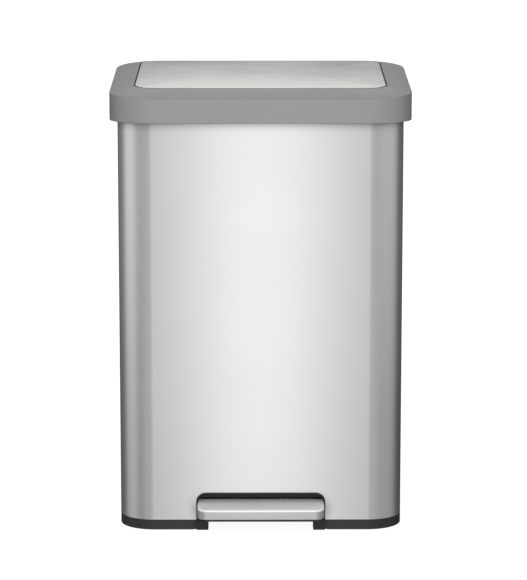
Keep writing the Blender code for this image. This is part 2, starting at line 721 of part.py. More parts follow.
def make_housing():
    wall = PLASTIC_WALL
    lip = outline(
        BODY_WIDTH / 2 - COLLAR_BORDER,
        BODY_FRONT + COLLAR_BORDER,
        HOLE_BACK + 0.0005,
        BODY_RADIUS - COLLAR_BORDER,
    )
    rings = [
        at_height(lid_outline(0.0), SKIRT_Z),
        at_height(lid_outline(0.0), SEAM_Z),
        at_height(lid_outline(wall), SEAM_Z),
        at_height(lid_outline(wall), DECK_TOP_Z),
        at_height(lip, DECK_TOP_Z),
        at_height(lip, DECK_UNDER_Z),
        at_height(lid_outline(wall), DECK_UNDER_Z),
        at_height(lid_outline(wall), SKIRT_Z),
    ]
    housing = loft("rear_housing", rings, "lid_plastic", closed=True)
    reach = LID_WIDTH / 2 + 0.05
    low = (-reach, LID_FRONT - 0.05, SKIRT_Z - 0.05)
    high = (reach, SPLIT_Y + 0.0005, RIM_Z + 0.1)
    cut(housing, box("housing_front_cut", low, high, "lid_plastic"))
    cut(housing, swing_path("housing_swing_path"))
    cut(housing, rod_window("housing_rod_window", 0.009, 0.009, RIM_Z - 0.02, RIM_Z + 0.02))
    circle = arc((AXIS_Y, AXIS_Z), BARREL_RADIUS, 0.0, 165.0, 12)
    web_back = AXIS_Y - 0.0062  # ahead of where the lid's lower edge swings
    web_foot = DECK_TOP_Z - 0.001
    web = circle + [(web_back - 0.0058, web_foot), (web_back, web_foot), (web_back, AXIS_Z - 0.0078)]
    web += arc((AXIS_Y, AXIS_Z), BARREL_RADIUS, -110.0, -10.0, 7)
    for index, x in enumerate(FIXED_KNUCKLES):
        low = x - FIXED_KNUCKLE_WIDTH / 2
        high = x + FIXED_KNUCKLE_WIDTH / 2
        join(housing, prism(f"fixed_knuckle_{index}", web, "X", low, high, "lid_plastic"))
    cut(housing, pin_bore("housing_pin_bore"))
    for name, x, y in housing_screw_places():
        low = RIM_Z - 0.01
        high = RIM_Z + 0.01
        cut(housing, upright(name + "_deck_hole", (x, y), low, high, SCREW_HOLE, "lid_plastic"))
        make_screw(name, (x, y, DECK_TOP_Z + GAP), (0, 0, -1), 0.0085)
    return housing


def make_pin():
    return crosswise("hinge_pin", BARREL_HALF + 0.001, (AXIS_Y, AXIS_Z), PIN_RADIUS, "zinc_steel")


def make_bucket():
    top = RIM_Z - BUCKET_BELOW_RIM
    under_lip = top - BUCKET_LIP_DEPTH
    bottom = FLOOR_TOP_Z + GAP
    wall_inset = BUCKET_PLAY + BUCKET_LIP
    foot_inset = wall_inset + BUCKET_TAPER
    rings = [
        at_height(hole_outline(foot_inset + BUCKET_WALL), bottom + BUCKET_WALL),
        at_height(hole_outline(wall_inset + BUCKET_WALL), under_lip),
        at_height(hole_outline(wall_inset + BUCKET_WALL), top),
        at_height(hole_outline(BUCKET_PLAY), top),
        at_height(hole_outline(BUCKET_PLAY), under_lip),
        at_height(hole_outline(wall_inset), under_lip),
        at_height(hole_outline(foot_inset), bottom),
    ]
    bucket = loft("bucket", rings, "bucket_plastic")
    grip = outline(0.045, top - 0.040, top - 0.018, 0.010)
    points = [(MID_Y - 0.008 + y, z) for y, z in grip]
    cut(bucket, prism("bucket_grip_cut", points, "X", -BODY_WIDTH, BODY_WIDTH, "bucket_plastic"))
    return bucket


def make_guides():
    wall = BODY_BACK - SHELL_WALL - GAP
    for name, z in (("rod_guide_lower", 0.20), ("rod_guide_upper", RIM_Z - 0.10)):
        points = [
            (-0.014, wall),
            (0.014, wall),
            (0.014, wall - 0.0025),
            (0.0065, wall - 0.0040),
        ]
        points += arc((0.0, ROD_Y), 0.0065, 0.0, -180.0, 12)
        points += [(-0.0065, wall - 0.0040), (-0.014, wall - 0.0025)]
        guide = prism(name, points, "Z", z, z + 0.014, "black_plastic")
        place = (0.0, ROD_Y)
        bore = ROD_RADIUS + GAP
        cut(guide, upright(name + "_bore", place, z - 0.01, z + 0.03, bore, "black_plastic", sides=20))


def make_rod():
    """The push rod, with its plastic foot below and its plastic head above."""
    place = (0.0, ROD_Y)
    bore = ROD_RADIUS + GAP
    low = ROD_FOOT_Z + ROD_SOCKET_FLOOR + 0.0005
    high = ROD_HEAD_Z - ROD_SOCKET_FLOOR
    rod = upright("push_rod", place, low, high, ROD_RADIUS, "zinc_steel", sides=20)
    stations = (
        (0.0025, ROD_FOOT_Z),
        (ROD_FOOT_RADIUS, ROD_FOOT_Z + 0.0022),
        (ROD_FOOT_RADIUS, ROD_FOOT_Z + ROD_HEAD_LENGTH),
    )
    rings = [at_height(arc(place, radius, 0.0, 345.0, 23), z) for radius, z in stations]
    foot = loft("rod_foot", rings, "black_plastic")
    cut(foot, upright("foot_socket", place, low - GAP, low + 0.05, bore, "black_plastic", sides=20))
    under = ROD_HEAD_Z - ROD_HEAD_LENGTH
    head = upright("rod_head", place, under, ROD_HEAD_Z, ROD_HEAD_RADIUS, "black_plastic", sides=24)
    cut(head, upright("head_socket", place, high - 0.05, high + GAP, bore, "black_plastic", sides=20))
    return [rod, foot, head]


def lid_screw_places():
    across = LID_WIDTH / 2 - LID_SCREW_INSET
    front = LID_FRONT + LID_SCREW_INSET
    rear = LINER_BACK - 0.030
    return (
        ("lid_screw_front_left", -across, front),
        ("lid_screw_front_right", across, front),
        ("lid_screw_rear_left", -across, rear),
        ("lid_screw_rear_right", across, rear),
    )


def bumper_places():
    inset = COLLAR_BORDER / 2 + 0.0005
    return (
        ("lid_bumper_front_left", -BODY_WIDTH / 4, BODY_FRONT + inset),
        ("lid_bumper_front_right", BODY_WIDTH / 4, BODY_FRONT + inset),
        ("lid_bumper_side_left", inset - BODY_WIDTH / 2, MID_Y + BODY_DEPTH / 8),
        ("lid_bumper_side_right", BODY_WIDTH / 2 - inset, MID_Y + BODY_DEPTH / 8),
    )


def make_lid_frame():
    recess = -PANEL_SHEET - GAP + PANEL_PROUD
    edge = at_height(lid_outline(0.0018), shifted(edge_z, 0.0006))
    border = at_height(panel_outline(0.0), panel_z)
    rings = [
        at_height(panel_outline(0.0), shifted(panel_z, recess - PLASTIC_WALL)),
        at_height(lid_outline(PLASTIC_WALL), shifted(edge_z, -0.0035)),
        at_height(lid_outline(PLASTIC_WALL), SKIRT_Z),
        at_height(lid_outline(0.0), SKIRT_Z),
        at_height(lid_outline(0.0), shifted(edge_z, -0.0016)),
        at_height(lid_outline(0.0005), shifted(edge_z, -0.0004)),
        edge,
    ]
    for share in (0.2, 0.45, 0.7):
        rings.append(blend_rings(edge, border, share, 1.0 - (1.0 - share) ** 1.6))
    rings += [border, at_height(panel_outline(0.0), shifted(panel_z, recess))]
    lid = loft("lid_frame", rings, "lid_plastic")
    for name, x, y in lid_screw_places():
        low = LINER_TOP_Z + GAP
        high = panel_z(y) - 0.0030
        join(lid, upright(name + "_boss", (x, y), low, high, BOSS_RADIUS, "lid_plastic", sides=16))
        low = LINER_TOP_Z - 0.01
        high = LINER_TOP_Z + 0.01
        cut(lid, upright(name + "_boss_hole", (x, y), low, high, SCREW_SHANK + GAP, "lid_plastic"))
    below = SKIRT_Z - 0.02
    rear = LID_BACK + 0.02
    points = [
        (SPLIT_Y, below),
        (rear, below),
        (rear, LID_REAR_EDGE_Z),
        (SPLIT_Y, LID_REAR_EDGE_Z),
    ]
    cut(lid, prism("lid_rear_cut", points, "X", -LID_WIDTH, LID_WIDTH, "lid_plastic"))
    return lid


def make_lid_panel():
    inset = PANEL_GROOVE
    bottom = PANEL_PROUD - PANEL_SHEET
    rings = [
        at_height(panel_outline(inset), shifted(panel_z, bottom)),
        at_height(panel_outline(inset), shifted(panel_z, PANEL_PROUD - 0.0005)),
        at_height(panel_outline(inset + 0.0005), shifted(panel_z, PANEL_PROUD)),
    ]
    return loft("lid_panel", rings, "brushed_steel")


def make_liner():
    inset = PLASTIC_WALL + GAP
    plan = outline(LID_WIDTH / 2 - inset, LID_FRONT + inset, LINER_BACK, LID_RADIUS - inset, 0.002)
    liner = prism("lid_liner", plan, "Z", LINER_UNDER_Z, LINER_TOP_Z, "black_plastic")
    half = LID_WIDTH / 2 - 0.012
    wall_top = edge_z(LINER_BACK) - 0.008
    low = (-half, LINER_BACK - 0.002, LINER_UNDER_Z)
    join(liner, box("liner_fence", low, (half, LINER_BACK, wall_top), "black_plastic"))
    screws = []
    for name, x, y in lid_screw_places():
        low = LINER_UNDER_Z - 0.01
        high = LINER_TOP_Z + 0.01
        cut(liner, upright(name + "_liner_hole", (x, y), low, high, SCREW_HOLE, "black_plastic"))
        screws.append(make_screw(name, (x, y, LINER_UNDER_Z - GAP), (0, 0, 1), 0.0100))
    bumpers = []
    for name, x, y in bumper_places():
        low = (x, y, RIM_Z + GAP)
        high = (x, y, LINER_UNDER_Z - GAP)
        bumpers.append(round_bar(name, low, high, 0.0038, "rubber", sides=20, end_radius=0.0050))
    return [liner] + screws + bumpers


def make_hinge_bar():
    """The lid's half of the hinge: a barrel in five lengths under a bar that runs behind the sheet."""
    back = LID_BACK - PLASTIC_WALL - GAP
    bar = box(
        "lid_hinge_bar",
        (-BARREL_HALF, AXIS_Y + 0.0010, AXIS_Z + BARREL_RADIUS + 0.0010),
        (BARREL_HALF, back, AXIS_Z + HINGE_BAR_TOP),
        "lid_plastic",
    )
    edges = [-BARREL_HALF]
    for x in FIXED_KNUCKLES:
        clear = FIXED_KNUCKLE_WIDTH / 2 + KNUCKLE_GAP
        edges += [x - clear, x + clear]
    edges.append(BARREL_HALF)
    profile = arc((AXIS_Y, AXIS_Z), BARREL_RADIUS, 160.0, 375.0, 18)
    web_top = AXIS_Z + HINGE_WEB_TOP
    profile += [(back, AXIS_Z + 0.0030), (back, web_top), (AXIS_Y - 0.0050, web_top)]
    for index in range(0, len(edges), 2):
        start, end = edges[index : index + 2]
        join(bar, prism(f"lid_knuckle_{index}", profile, "X", start, end, "lid_plastic"))
    cut(bar, pin_bore("bar_pin_bore"))
    screws = []
    z = AXIS_Z + HINGE_SCREW_Z
    y = AXIS_Y + 0.0010 - GAP
    for name, x in (("left", -0.090), ("middle", 0.012), ("right", 0.090)):
        name = "hinge_screw_" + name
        start = (x, y - 0.01, z)
        end = (x, back + 0.01, z)
        cut(bar, round_bar(name + "_hole", start, end, SCREW_HOLE, "lid_plastic", sides=12))
        length = back - y - GAP
        screws.append(make_screw(name, (x, y, z), (0, 1, 0), length, head_radius=0.0028, shank_radius=0.0015))
    return [bar] + screws


def make_crank():
    """The lever on the hinge bar that the push rod lifts, with the roller that rides on the rod's head."""
    low = AXIS_Z + HINGE_WEB_TOP + GAP
    high = low + 0.0042
    profile = [
        (AXIS_Y - 0.0050, low),
        (AXIS_Y - BARREL_RADIUS - 0.0020, AXIS_Z + 0.0065),
        (LUG_Y + 0.3 * LUG_RADIUS, AXIS_Z - 0.0040),
    ]
    profile += arc((LUG_Y, LUG_Z), 0.0033, 20.0, -160.0, 10)
    profile += [
        (LUG_Y - 0.18 * LUG_RADIUS, AXIS_Z + 0.0060),
        (AXIS_Y - 0.62 * LUG_RADIUS, high),
        (AXIS_Y + 0.0007, high),
        (AXIS_Y + 0.0007, low),
    ]
    crank = prism("lid_crank", profile, "X", -CRANK_HALF_WIDTH, CRANK_HALF_WIDTH, "black_plastic")
    low = (-CRANK_FORK_HALF, LUG_Y - 0.0070, LUG_Z - 0.0070)
    high = (CRANK_FORK_HALF, LUG_Y + 0.0070, LUG_Z + 0.0055)
    cut(crank, box("crank_fork", low, high, "black_plastic"))
    place = (LUG_Y, LUG_Z)
    bore = ROLLER_PIN_RADIUS + GAP
    cut(crank, crosswise("crank_bore", 0.02, place, bore, "black_plastic", sides=16))
    half_roller = CRANK_FORK_HALF - GAP
    roller = crosswise("crank_roller", half_roller, place, ROLLER_RADIUS, "black_plastic", sides=24)
    cut(roller, crosswise("roller_bore", 0.02, place, bore, "black_plastic", sides=16))
    pin = crosswise("roller_pin", CRANK_HALF_WIDTH, place, ROLLER_PIN_RADIUS, "zinc_steel", sides=16)
    return [crank, roller, pin]


def hang_on(name, place, pieces):
    """Parent pieces, and what shapes them, to an empty on their joint's axis, without moving them."""
    pivot = bpy.data.objects.new(name, None)
    pivot.location = place
    pivot.empty_display_size = 0.02
    bpy.context.scene.collection.objects.link(pivot)
    for piece in pieces:
        shapers = [modifier.object for modifier in piece.modifiers]
        for moving in [piece] + shapers:
            moving.parent = pivot
            moving.location = -Vector(place)


def main():
    for old in list(bpy.data.objects):
        bpy.data.objects.remove(old, do_unlink=True)
    make_shell()
    make_base()
    make_feet()
    make_bezel()
    make_collar()
    make_housing()
    make_pin()
    make_bucket()
    make_guides()
    make_axle()
    lid = [make_lid_frame(), make_lid_panel()] + make_liner() + make_hinge_bar() + make_crank()
    hang_on("lid_axis", (0.0, AXIS_Y, AXIS_Z), lid)
    tread, core, screws = make_pedal()
    hang_on("pedal_axis", (0.0, AXLE_Y, AXLE_Z), [tread, core, make_lever()] + screws)
    hang_on("rod_axis", (0.0, ROD_Y, ROD_FOOT_Z), make_rod())


main()
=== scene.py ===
"""Step bin builder: the finished look of a steel pedal bin, laid over its packed working model.

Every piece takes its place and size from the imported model. The bin stands on z = 0 and faces -Y.
"""

import math

import bmesh
import bpy
from mathutils import Matrix, Vector


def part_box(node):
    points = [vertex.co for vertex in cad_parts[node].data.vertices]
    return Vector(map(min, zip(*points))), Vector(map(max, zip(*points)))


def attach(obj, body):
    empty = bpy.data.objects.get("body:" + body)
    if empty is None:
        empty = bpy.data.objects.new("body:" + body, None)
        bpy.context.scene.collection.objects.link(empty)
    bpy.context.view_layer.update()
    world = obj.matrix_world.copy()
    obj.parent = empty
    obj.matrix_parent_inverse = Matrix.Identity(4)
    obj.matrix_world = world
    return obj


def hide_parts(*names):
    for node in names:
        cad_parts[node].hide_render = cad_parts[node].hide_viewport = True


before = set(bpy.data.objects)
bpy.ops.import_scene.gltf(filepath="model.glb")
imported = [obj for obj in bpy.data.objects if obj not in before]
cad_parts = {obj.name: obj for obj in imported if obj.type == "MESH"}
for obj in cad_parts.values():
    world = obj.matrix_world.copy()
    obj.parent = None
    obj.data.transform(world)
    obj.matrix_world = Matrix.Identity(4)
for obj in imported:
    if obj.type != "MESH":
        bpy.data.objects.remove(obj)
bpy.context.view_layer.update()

bl_info = {
    "name": "Step Bin Builder",
    "version": (1, 0, 0),
    "blender": (4, 5, 0),
    "location": "3D View > Sidebar > Step Bin",
    "description": "Builds a steel step bin with a hinged lid, its finishes and a small studio",
    "category": "Add Mesh",
}

SMOOTH_ANGLE = math.radians(32.0)

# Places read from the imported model
BODY_LOW, BODY_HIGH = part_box("body_shell")
LID_LOW, LID_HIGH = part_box("lid_frame")
BASE_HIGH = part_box("base_tray")[1]
COLLAR_LOW, COLLAR_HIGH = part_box("collar_ring")
COVER_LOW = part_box("rear_housing")[0]
BUCKET_LOW, BUCKET_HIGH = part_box("bucket")
TREAD_LOW, TREAD_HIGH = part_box("pedal_tread")
SURROUND_LOW, SURROUND_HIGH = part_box("pedal_bezel")
LEVER_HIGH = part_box("pedal_lever")[1]
PIN_LOW, PIN_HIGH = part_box("hinge_pin")
ROD_LOW, ROD_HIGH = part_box("push_rod")
AXIS_Y = (PIN_LOW.y + PIN_HIGH.y) / 2
AXIS_Z = (PIN_LOW.z + PIN_HIGH.z) / 2
ROD_Y = (ROD_LOW.y + ROD_HIGH.y) / 2
RIM_Z = COLLAR_HIGH.z

# Shapes that the boxes don't tell
BODY_RADIUS = 0.051
LID_OVERHANG = BODY_LOW.y - LID_LOW.y
LID_RADIUS = BODY_RADIUS + LID_OVERHANG
EDGE_FRONT_RISE = 0.0172
EDGE_BACK_RISE = 0.0484
EDGE_FRONT_Z = RIM_Z + EDGE_FRONT_RISE
EDGE_SLOPE = (EDGE_BACK_RISE - EDGE_FRONT_RISE) / (LID_HIGH.y - LID_LOW.y)
PANEL_SLOPE = 0.080
PANEL_FRONT_STRIP = 0.0475
PANEL_BACK_STRIP = 0.0095
PANEL_SIDE_STRIP = 0.0350
PANEL_RADIUS = 0.030
PANEL_GROOVE = 0.0021
PANEL_SHEET = 0.0008
PANEL_PROUD = 0.0004
PANEL_FRONT_Z = RIM_Z + 0.0287
GAP = 0.0003  # between pieces that don't touch
OVERSHOOT = 0.01  # how far a cutting shape reaches past what it cuts
EASED = 0.0004  # radius of an edge that is only broken
ROUNDED = 0.0009  # radius of a moulding's edge that shows
SPLIT_Y = COVER_LOW.y - 0.0005
SEAM_Z = RIM_Z + 0.0152
LID_REAR_EDGE_Z = SEAM_Z + 0.0012
BARREL_HALF = PIN_HIGH.x - 0.001
BARREL_RADIUS = 0.007
FIXED_KNUCKLES = (-0.87, -0.29, 0.29, 0.87)  # places along the barrel, as shares of its half length
KNUCKLE_WIDTH = 0.014
PLASTIC_IN = 0.0009  # from the steel's outside to the mouldings inside it
LINING_IN = 0.0034
COLLAR_BORDER = 0.0135
ROD_WINDOW = 0.009  # half width of the collar's and the cover's hole round the rod
BASE_ROD_WINDOW = 0.011
SCREW_HOLE = 0.0021
FOOT_POST = 0.0125
FLOOR_UNDER_Z = 0.062
FLOOR_WALL = 0.0025
DECK_UNDER_Z = RIM_Z + GAP
DECK_TOP_Z = DECK_UNDER_Z + 0.0034
NOTCH_HALF = SURROUND_HIGH.x + GAP
NOTCH_TOP_Z = SURROUND_HIGH.z + GAP
NOTCH_RADIUS = 0.0136
CHEEK_WIDTH = 0.0171
APRON_HEM_Z = 0.020
APRON_WALL = 0.0012
BAND_Z = BODY_LOW.z - GAP
BAND_UNDER_Z = 0.0012
TREAD_SLOPE = math.tan(math.radians(9.0))
TREAD_FRONT_Z = 0.0375
PEDAL_FACE = 0.0139
PEDAL_RADIUS = 0.012
PEDAL_REAR_RADIUS = 0.0025
PEDAL_SHEET = 0.0012
PEDAL_EASE = 0.0006  # how far the steel cover stands out at the pedal's ends


# ---------------------------------------------------------------- settings


class StepBinShape(bpy.types.PropertyGroup):
    lid_wall: bpy.props.FloatProperty(
        name="Lid wall",
        description="Thickness of the moulded lid and of the rear hinge cover",
        default=0.0025,
        min=0.001,
        max=0.005,
        unit="LENGTH",
    )
    crease_round: bpy.props.FloatProperty(
        name="Lid crease round",
        description="Radius of the edge between the lid's skirt and its top",
        default=0.0018,
        min=0.0003,
        max=0.004,
        unit="LENGTH",
    )
    crown: bpy.props.FloatProperty(
        name="Lid crown",
        description="How quickly the lid's border rises from its edge; 1 is a straight slope",
        default=1.6,
        min=1.0,
        max=3.0,
    )
    sheet_dome: bpy.props.FloatProperty(
        name="Sheet dome",
        description="How far the middle of the lid's steel sheet stands up",
        default=0.0015,
        min=0.0,
        max=0.004,
        unit="LENGTH",
    )
    shell_wall: bpy.props.FloatProperty(
        name="Steel wall",
        description="Thickness of the steel wrapped round the body",
        default=0.0006,
        min=0.0004,
        max=0.0020,
        unit="LENGTH",
    )
    bucket_wall: bpy.props.FloatProperty(
        name="Bucket wall",
        description="Thickness of the lift-out bucket",
        default=0.0022,
        min=0.001,
        max=0.004,
        unit="LENGTH",
    )
    tread_round: bpy.props.FloatProperty(
        name="Pedal edge round",
        description="Radius of the bend along the top edges of the pedal's steel cover",
        default=0.0028,
        min=0.0003,
        max=0.004,
        unit="LENGTH",
    )
    corner_steps: bpy.props.IntProperty(
        name="Corner steps",
        description="Facets round each rounded corner of the body and lid",
        default=20,
        min=6,
        max=48,
    )


class StepBinFinish(bpy.types.PropertyGroup):
    steel_color: bpy.props.FloatVectorProperty(
        name="Steel colour",
        description="Colour of the brushed steel",
        default=(0.66, 0.66, 0.655),
        size=3,
        min=0.0,
        max=1.0,
        subtype="COLOR",
    )
    sheet_color: bpy.props.FloatVectorProperty(
        name="Lid sheet colour",
        description="Colour of the brushed steel sheet let into the lid",
        default=(0.82, 0.817, 0.805),
        size=3,
        min=0.0,
        max=1.0,
        subtype="COLOR",
    )
    steel_roughness: bpy.props.FloatProperty(
        name="Steel roughness",
        description="How satin the brushed steel is",
        default=0.36,
        min=0.0,
        max=1.0,
        subtype="FACTOR",
    )
    pedal_color: bpy.props.FloatVectorProperty(
        name="Pedal colour",
        description="Colour of the pedal's steel cover",
        default=(0.93, 0.925, 0.915),
        size=3,
        min=0.0,
        max=1.0,
        subtype="COLOR",
    )
    # Metallic on the pedal's top: with the near-white colour, a low value makes a painted reflection of
    # the bright room
    pedal_metal: bpy.props.FloatProperty(
        name="Pedal shine",
        description="How much of the light on the pedal's worn top is mirrored; the rest is scattered",
        default=0.15,
        min=0.0,
        max=1.0,
        subtype="FACTOR",
    )
    # Factor on the colour of the pedal's upright face: painted shade, so it looks darker than the top
    pedal_face_painted_shade: bpy.props.FloatProperty(
        name="Pedal face",
        description="Tone of the pedal's upright face next to its worn top",
        default=0.55,
        min=0.0,
        max=1.0,
        subtype="FACTOR",
    )
    lid_color: bpy.props.FloatVectorProperty(
        name="Lid colour",
        description="Colour of the moulded lid and the rear hinge cover",
        default=(0.277, 0.277, 0.276),
        size=3,
        min=0.0,
        max=1.0,
        subtype="COLOR",
    )
    base_color: bpy.props.FloatVectorProperty(
        name="Base colour",
        description="Colour of the base, the collar and the other black mouldings",
        default=(0.0265, 0.0265, 0.0270),
        size=3,
        min=0.0,
        max=1.0,
        subtype="COLOR",
    )
    surround_color: bpy.props.FloatVectorProperty(
        name="Pedal surround colour",
        description="Colour of the black arch round the pedal",
        default=(0.0120, 0.0120, 0.0125),
        size=3,
        min=0.0,
        max=1.0,
        subtype="COLOR",
    )
    bucket_color: bpy.props.FloatVectorProperty(
        name="Bucket colour",
        description="Colour of the lift-out bucket",
        default=(0.085, 0.087, 0.090),
        size=3,
        min=0.0,
        max=1.0,
        subtype="COLOR",
    )


class StepBinStudio(bpy.types.PropertyGroup):
    front_light: bpy.props.FloatProperty(
        name="Front light",
        description="Brightness of the room in front of the bin",
        default=2.35,
        min=0.0,
        max=10.0,
    )
    top_light: bpy.props.FloatProperty(
        name="Top light",
        description="Brightness of the room overhead",
        default=0.86,
        min=0.0,
        max=10.0,
    )
    side_light: bpy.props.FloatProperty(
        name="Side light",
        description="Brightness of the rest of the room",
        default=0.03,
        min=0.0,
        max=10.0,
    )
    room: bpy.props.FloatProperty(
        name="Room brightness",
        description="Brightness of the whole room round the bin",
        default=1.0,
        min=0.0,
        max=5.0,
    )
    camera_distance: bpy.props.FloatProperty(
        name="Camera distance",
        description="From the camera to the lid's front",
        default=3.5,
        min=0.5,
        max=20.0,
        unit="LENGTH",
    )
    lens: bpy.props.FloatProperty(
        name="Lens",
        description="Focal length of the camera",
        default=152.16,
        min=10.0,
        max=500.0,
        unit="CAMERA",
    )


# ---------------------------------------------------------------- heights


def edge_z(y):
    """Height of the lid's outer edge."""
    return EDGE_FRONT_Z + EDGE_SLOPE * (y - LID_LOW.y)


def panel_z(y):
    """Height of the lid's top plane round the steel sheet."""
    return PANEL_FRONT_Z + PANEL_SLOPE * (y - LID_LOW.y - PANEL_FRONT_STRIP)


def tread_z(y):
    """Height of the pedal's top."""
    return TREAD_FRONT_Z + TREAD_SLOPE * (y - TREAD_LOW.y)


def level(height):
    return lambda y: height


def above(height, amount):
    """A height function moved up or down."""
    return lambda y: height(y) + amount


# ---------------------------------------------------------------- shaping


class Plan:
    """A rounded rectangle seen from above: two corners, and the radii at its front and its rear."""

    def __init__(self, low, high, front_radius, rear_radius=None):
        self.low = Vector(low[:2])
        self.high = Vector(high[:2])
        self.front_radius = front_radius
        self.rear_radius = front_radius if rear_radius is None else rear_radius

    def inset(self, amount):
        step = Vector((amount, amount))
        front = max(self.front_radius - amount, 0.0003)
        rear = max(self.rear_radius - amount, 0.0003)
        return Plan(self.low + step, self.high - step, front, rear)

    def corner(self, right, rear):
        """Centre and radius of one rounded corner."""
        radius = self.rear_radius if rear else self.front_radius
        x = self.high.x - radius if right else self.low.x + radius
        y = self.high.y - radius if rear else self.low.y + radius
        return Vector((x, y)), radius

    def toward(self, other, share):
        return Plan(
            self.low.lerp(other.low, share),
            self.high.lerp(other.high, share),
            self.front_radius + (other.front_radius - self.front_radius) * share,
            self.rear_radius + (other.rear_radius - self.rear_radius) * share,
        )


def body_plan(inset=0.0):
    return Plan(BODY_LOW, BODY_HIGH, BODY_RADIUS).inset(inset)


def lid_plan(inset=0.0):
    return Plan(LID_LOW, LID_HIGH, LID_RADIUS).inset(inset)


def panel_plan(inset=0.0):
    low = (LID_LOW.x + PANEL_SIDE_STRIP, LID_LOW.y + PANEL_FRONT_STRIP)
    high = (LID_HIGH.x - PANEL_SIDE_STRIP, LID_HIGH.y - PANEL_BACK_STRIP)
    return Plan(low, high, PANEL_RADIUS).inset(inset)


def opening_plan(inset=0.0):
    """The opening in the collar that the bucket hangs in."""
    low = (BODY_LOW.x + COLLAR_BORDER, BODY_LOW.y + COLLAR_BORDER)
    high = (BODY_HIGH.x - COLLAR_BORDER, ROD_Y - 0.0125)
    return Plan(low, high, BODY_RADIUS - COLLAR_BORDER).inset(inset)


def ring(shape, plan, height, steps):
    """Vertices of a rounded rectangle, made from one square face whose corners are rounded."""
    before = set(shape.faces)
    made = bmesh.ops.create_grid(shape, x_segments=1, y_segments=1, size=0.5)
    size = plan.high - plan.low
    middle = (plan.high + plan.low) / 2
    place = Matrix.Translation((middle.x, middle.y, 0.0))
    stretch = Matrix.Diagonal((size.x, size.y, 1.0, 1.0))
    bmesh.ops.transform(shape, matrix=place @ stretch, verts=made["verts"])
    front = [vert for vert in made["verts"] if vert.co.y < middle.y]
    rear = [vert for vert in made["verts"] if vert.co.y > middle.y]
    for corners, radius in ((front, plan.front_radius), (rear, plan.rear_radius)):
        bmesh.ops.bevel(
            shape,
            geom=corners,
            offset=radius,
            offset_type="OFFSET",
            segments=steps,
            profile=0.5,
            affect="VERTICES",
            material=-1,
            clamp_overlap=False,
        )
    face = next(face for face in shape.faces if face not in before)
    verts = list(face.verts)
    for vert in verts:
        vert.co.z = height(vert.co.y)
    bmesh.ops.delete(shape, geom=[face], context="FACES_ONLY")
    return verts


def edges_of(verts):
    """The edges that join these vertices round their ring."""
    chosen = set(verts)
    return list({edge for vert in verts for edge in vert.link_edges if edge.other_vert(vert) in chosen})


def next_ring(shape, verts, plan, new_plan, height):
    """Extrude a ring, and fit the new ring to its own plan and height."""
    made = bmesh.ops.extrude_edge_only(shape, edges=edges_of(verts))
    new_verts = [item for item in made["geom"] if isinstance(item, bmesh.types.BMVert)]
    middle = (plan.high + plan.low) / 2
    for vert in new_verts:
        right = vert.co.x > middle.x
        rear = vert.co.y > middle.y
        old_center, old_radius = plan.corner(right, rear)
        center, radius = new_plan.corner(right, rear)
        arm = (vert.co.xy - old_center) / old_radius
        vert.co.xy = center + arm * radius
        vert.co.z = height(vert.co.y)
    return new_verts


def nearest(verts, vert):
    return min(verts, key=lambda other: (other.co - vert.co).length_squared)


def stack(stations, steps, closed=False):
    """A body through rings: each station is a plan, a height and the radius that rounds its edge."""
    shape = bmesh.new()
    plan, height, _ = stations[0]
    rings = [ring(shape, plan, height, steps)]
    for new_plan, height, _ in stations[1:]:
        rings.append(next_ring(shape, rings[-1], plan, new_plan, height))
        plan = new_plan
    if closed:
        last = next_ring(shape, rings[-1], plan, stations[0][0], stations[0][1])
        partners = {vert: nearest(rings[0], vert) for vert in last}
        bmesh.ops.weld_verts(shape, targetmap=partners)
    else:
        for verts in (rings[0], rings[-1]):
            bmesh.ops.contextual_create(shape, geom=edges_of(verts))
    for verts, (_, _, radius) in zip(rings, stations):
        if radius:
            round_edges(shape, edges_of(verts), radius)
    bmesh.ops.recalc_face_normals(shape, faces=shape.faces)
    return shape


def round_edges(shape, edges, radius, segments=4):
    bmesh.ops.bevel(
        shape,
        geom=edges,
        offset=radius,
        offset_type="OFFSET",
        segments=segments,
        profile=0.5,
        affect="EDGES",
        material=-1,
        clamp_overlap=True,
    )


def block(low, high):
    """A box between two corners."""
    shape = bmesh.new()
    low = Vector(low)
    high = Vector(high)
    size = high - low
    place = Matrix.Translation((low + high) / 2) @ Matrix.Diagonal((size.x, size.y, size.z, 1.0))
    bmesh.ops.create_cube(shape, size=1.0, matrix=place)
    return shape


def arch_block(half_width, top, radius, bottom, front, back, steps=10):
    """A box whose two upper edges, running front to back, are rounded."""
    shape = block((-half_width, front, bottom), (half_width, back, top))
    upper = []
    for edge in shape.edges:
        ends = [vert.co for vert in edge.verts]
        span = ends[0] - ends[1]
        along = abs(span.y) > abs(span.x) + abs(span.z)
        if along and ends[0].z > (top + bottom) / 2:
            upper.append(edge)
    round_edges(shape, upper, radius, steps)
    return shape


def rod(start, end, radius, segments=32, end_radius=None):
    """A round bar, or a cone, between two points."""
    shape = bmesh.new()
    start = Vector(start)
    end = Vector(end)
    along = end - start
    turn = along.to_track_quat("Z", "Y").to_matrix().to_4x4()
    bmesh.ops.create_cone(
        shape,
        cap_ends=True,
        segments=segments,
        radius1=radius,
        radius2=radius if end_radius is None else end_radius,
        depth=along.length,
        matrix=Matrix.Translation((start + end) / 2) @ turn,
    )
    return shape


def sharp_edges(shape, angle=math.radians(40.0)):
    return [edge for edge in shape.edges if edge.is_manifold and edge.calc_face_angle() > angle]


def new_piece(name, shape, finish):
    """Turn a bmesh into an object with its finish and smooth rounds."""
    bmesh.ops.remove_doubles(shape, verts=shape.verts, dist=1e-6)
    bmesh.ops.recalc_face_normals(shape, faces=shape.faces)
    data = bpy.data.meshes.new(name)
    shape.to_mesh(data)
    shape.free()
    data.materials.append(finish)
    piece = bpy.data.objects.new(name, data)
    bpy.context.scene.collection.objects.link(piece)
    soften(piece)
    return piece


def soften(piece):
    piece.data.shade_smooth()
    piece.data.set_sharp_from_angle(angle=SMOOTH_ANGLE)


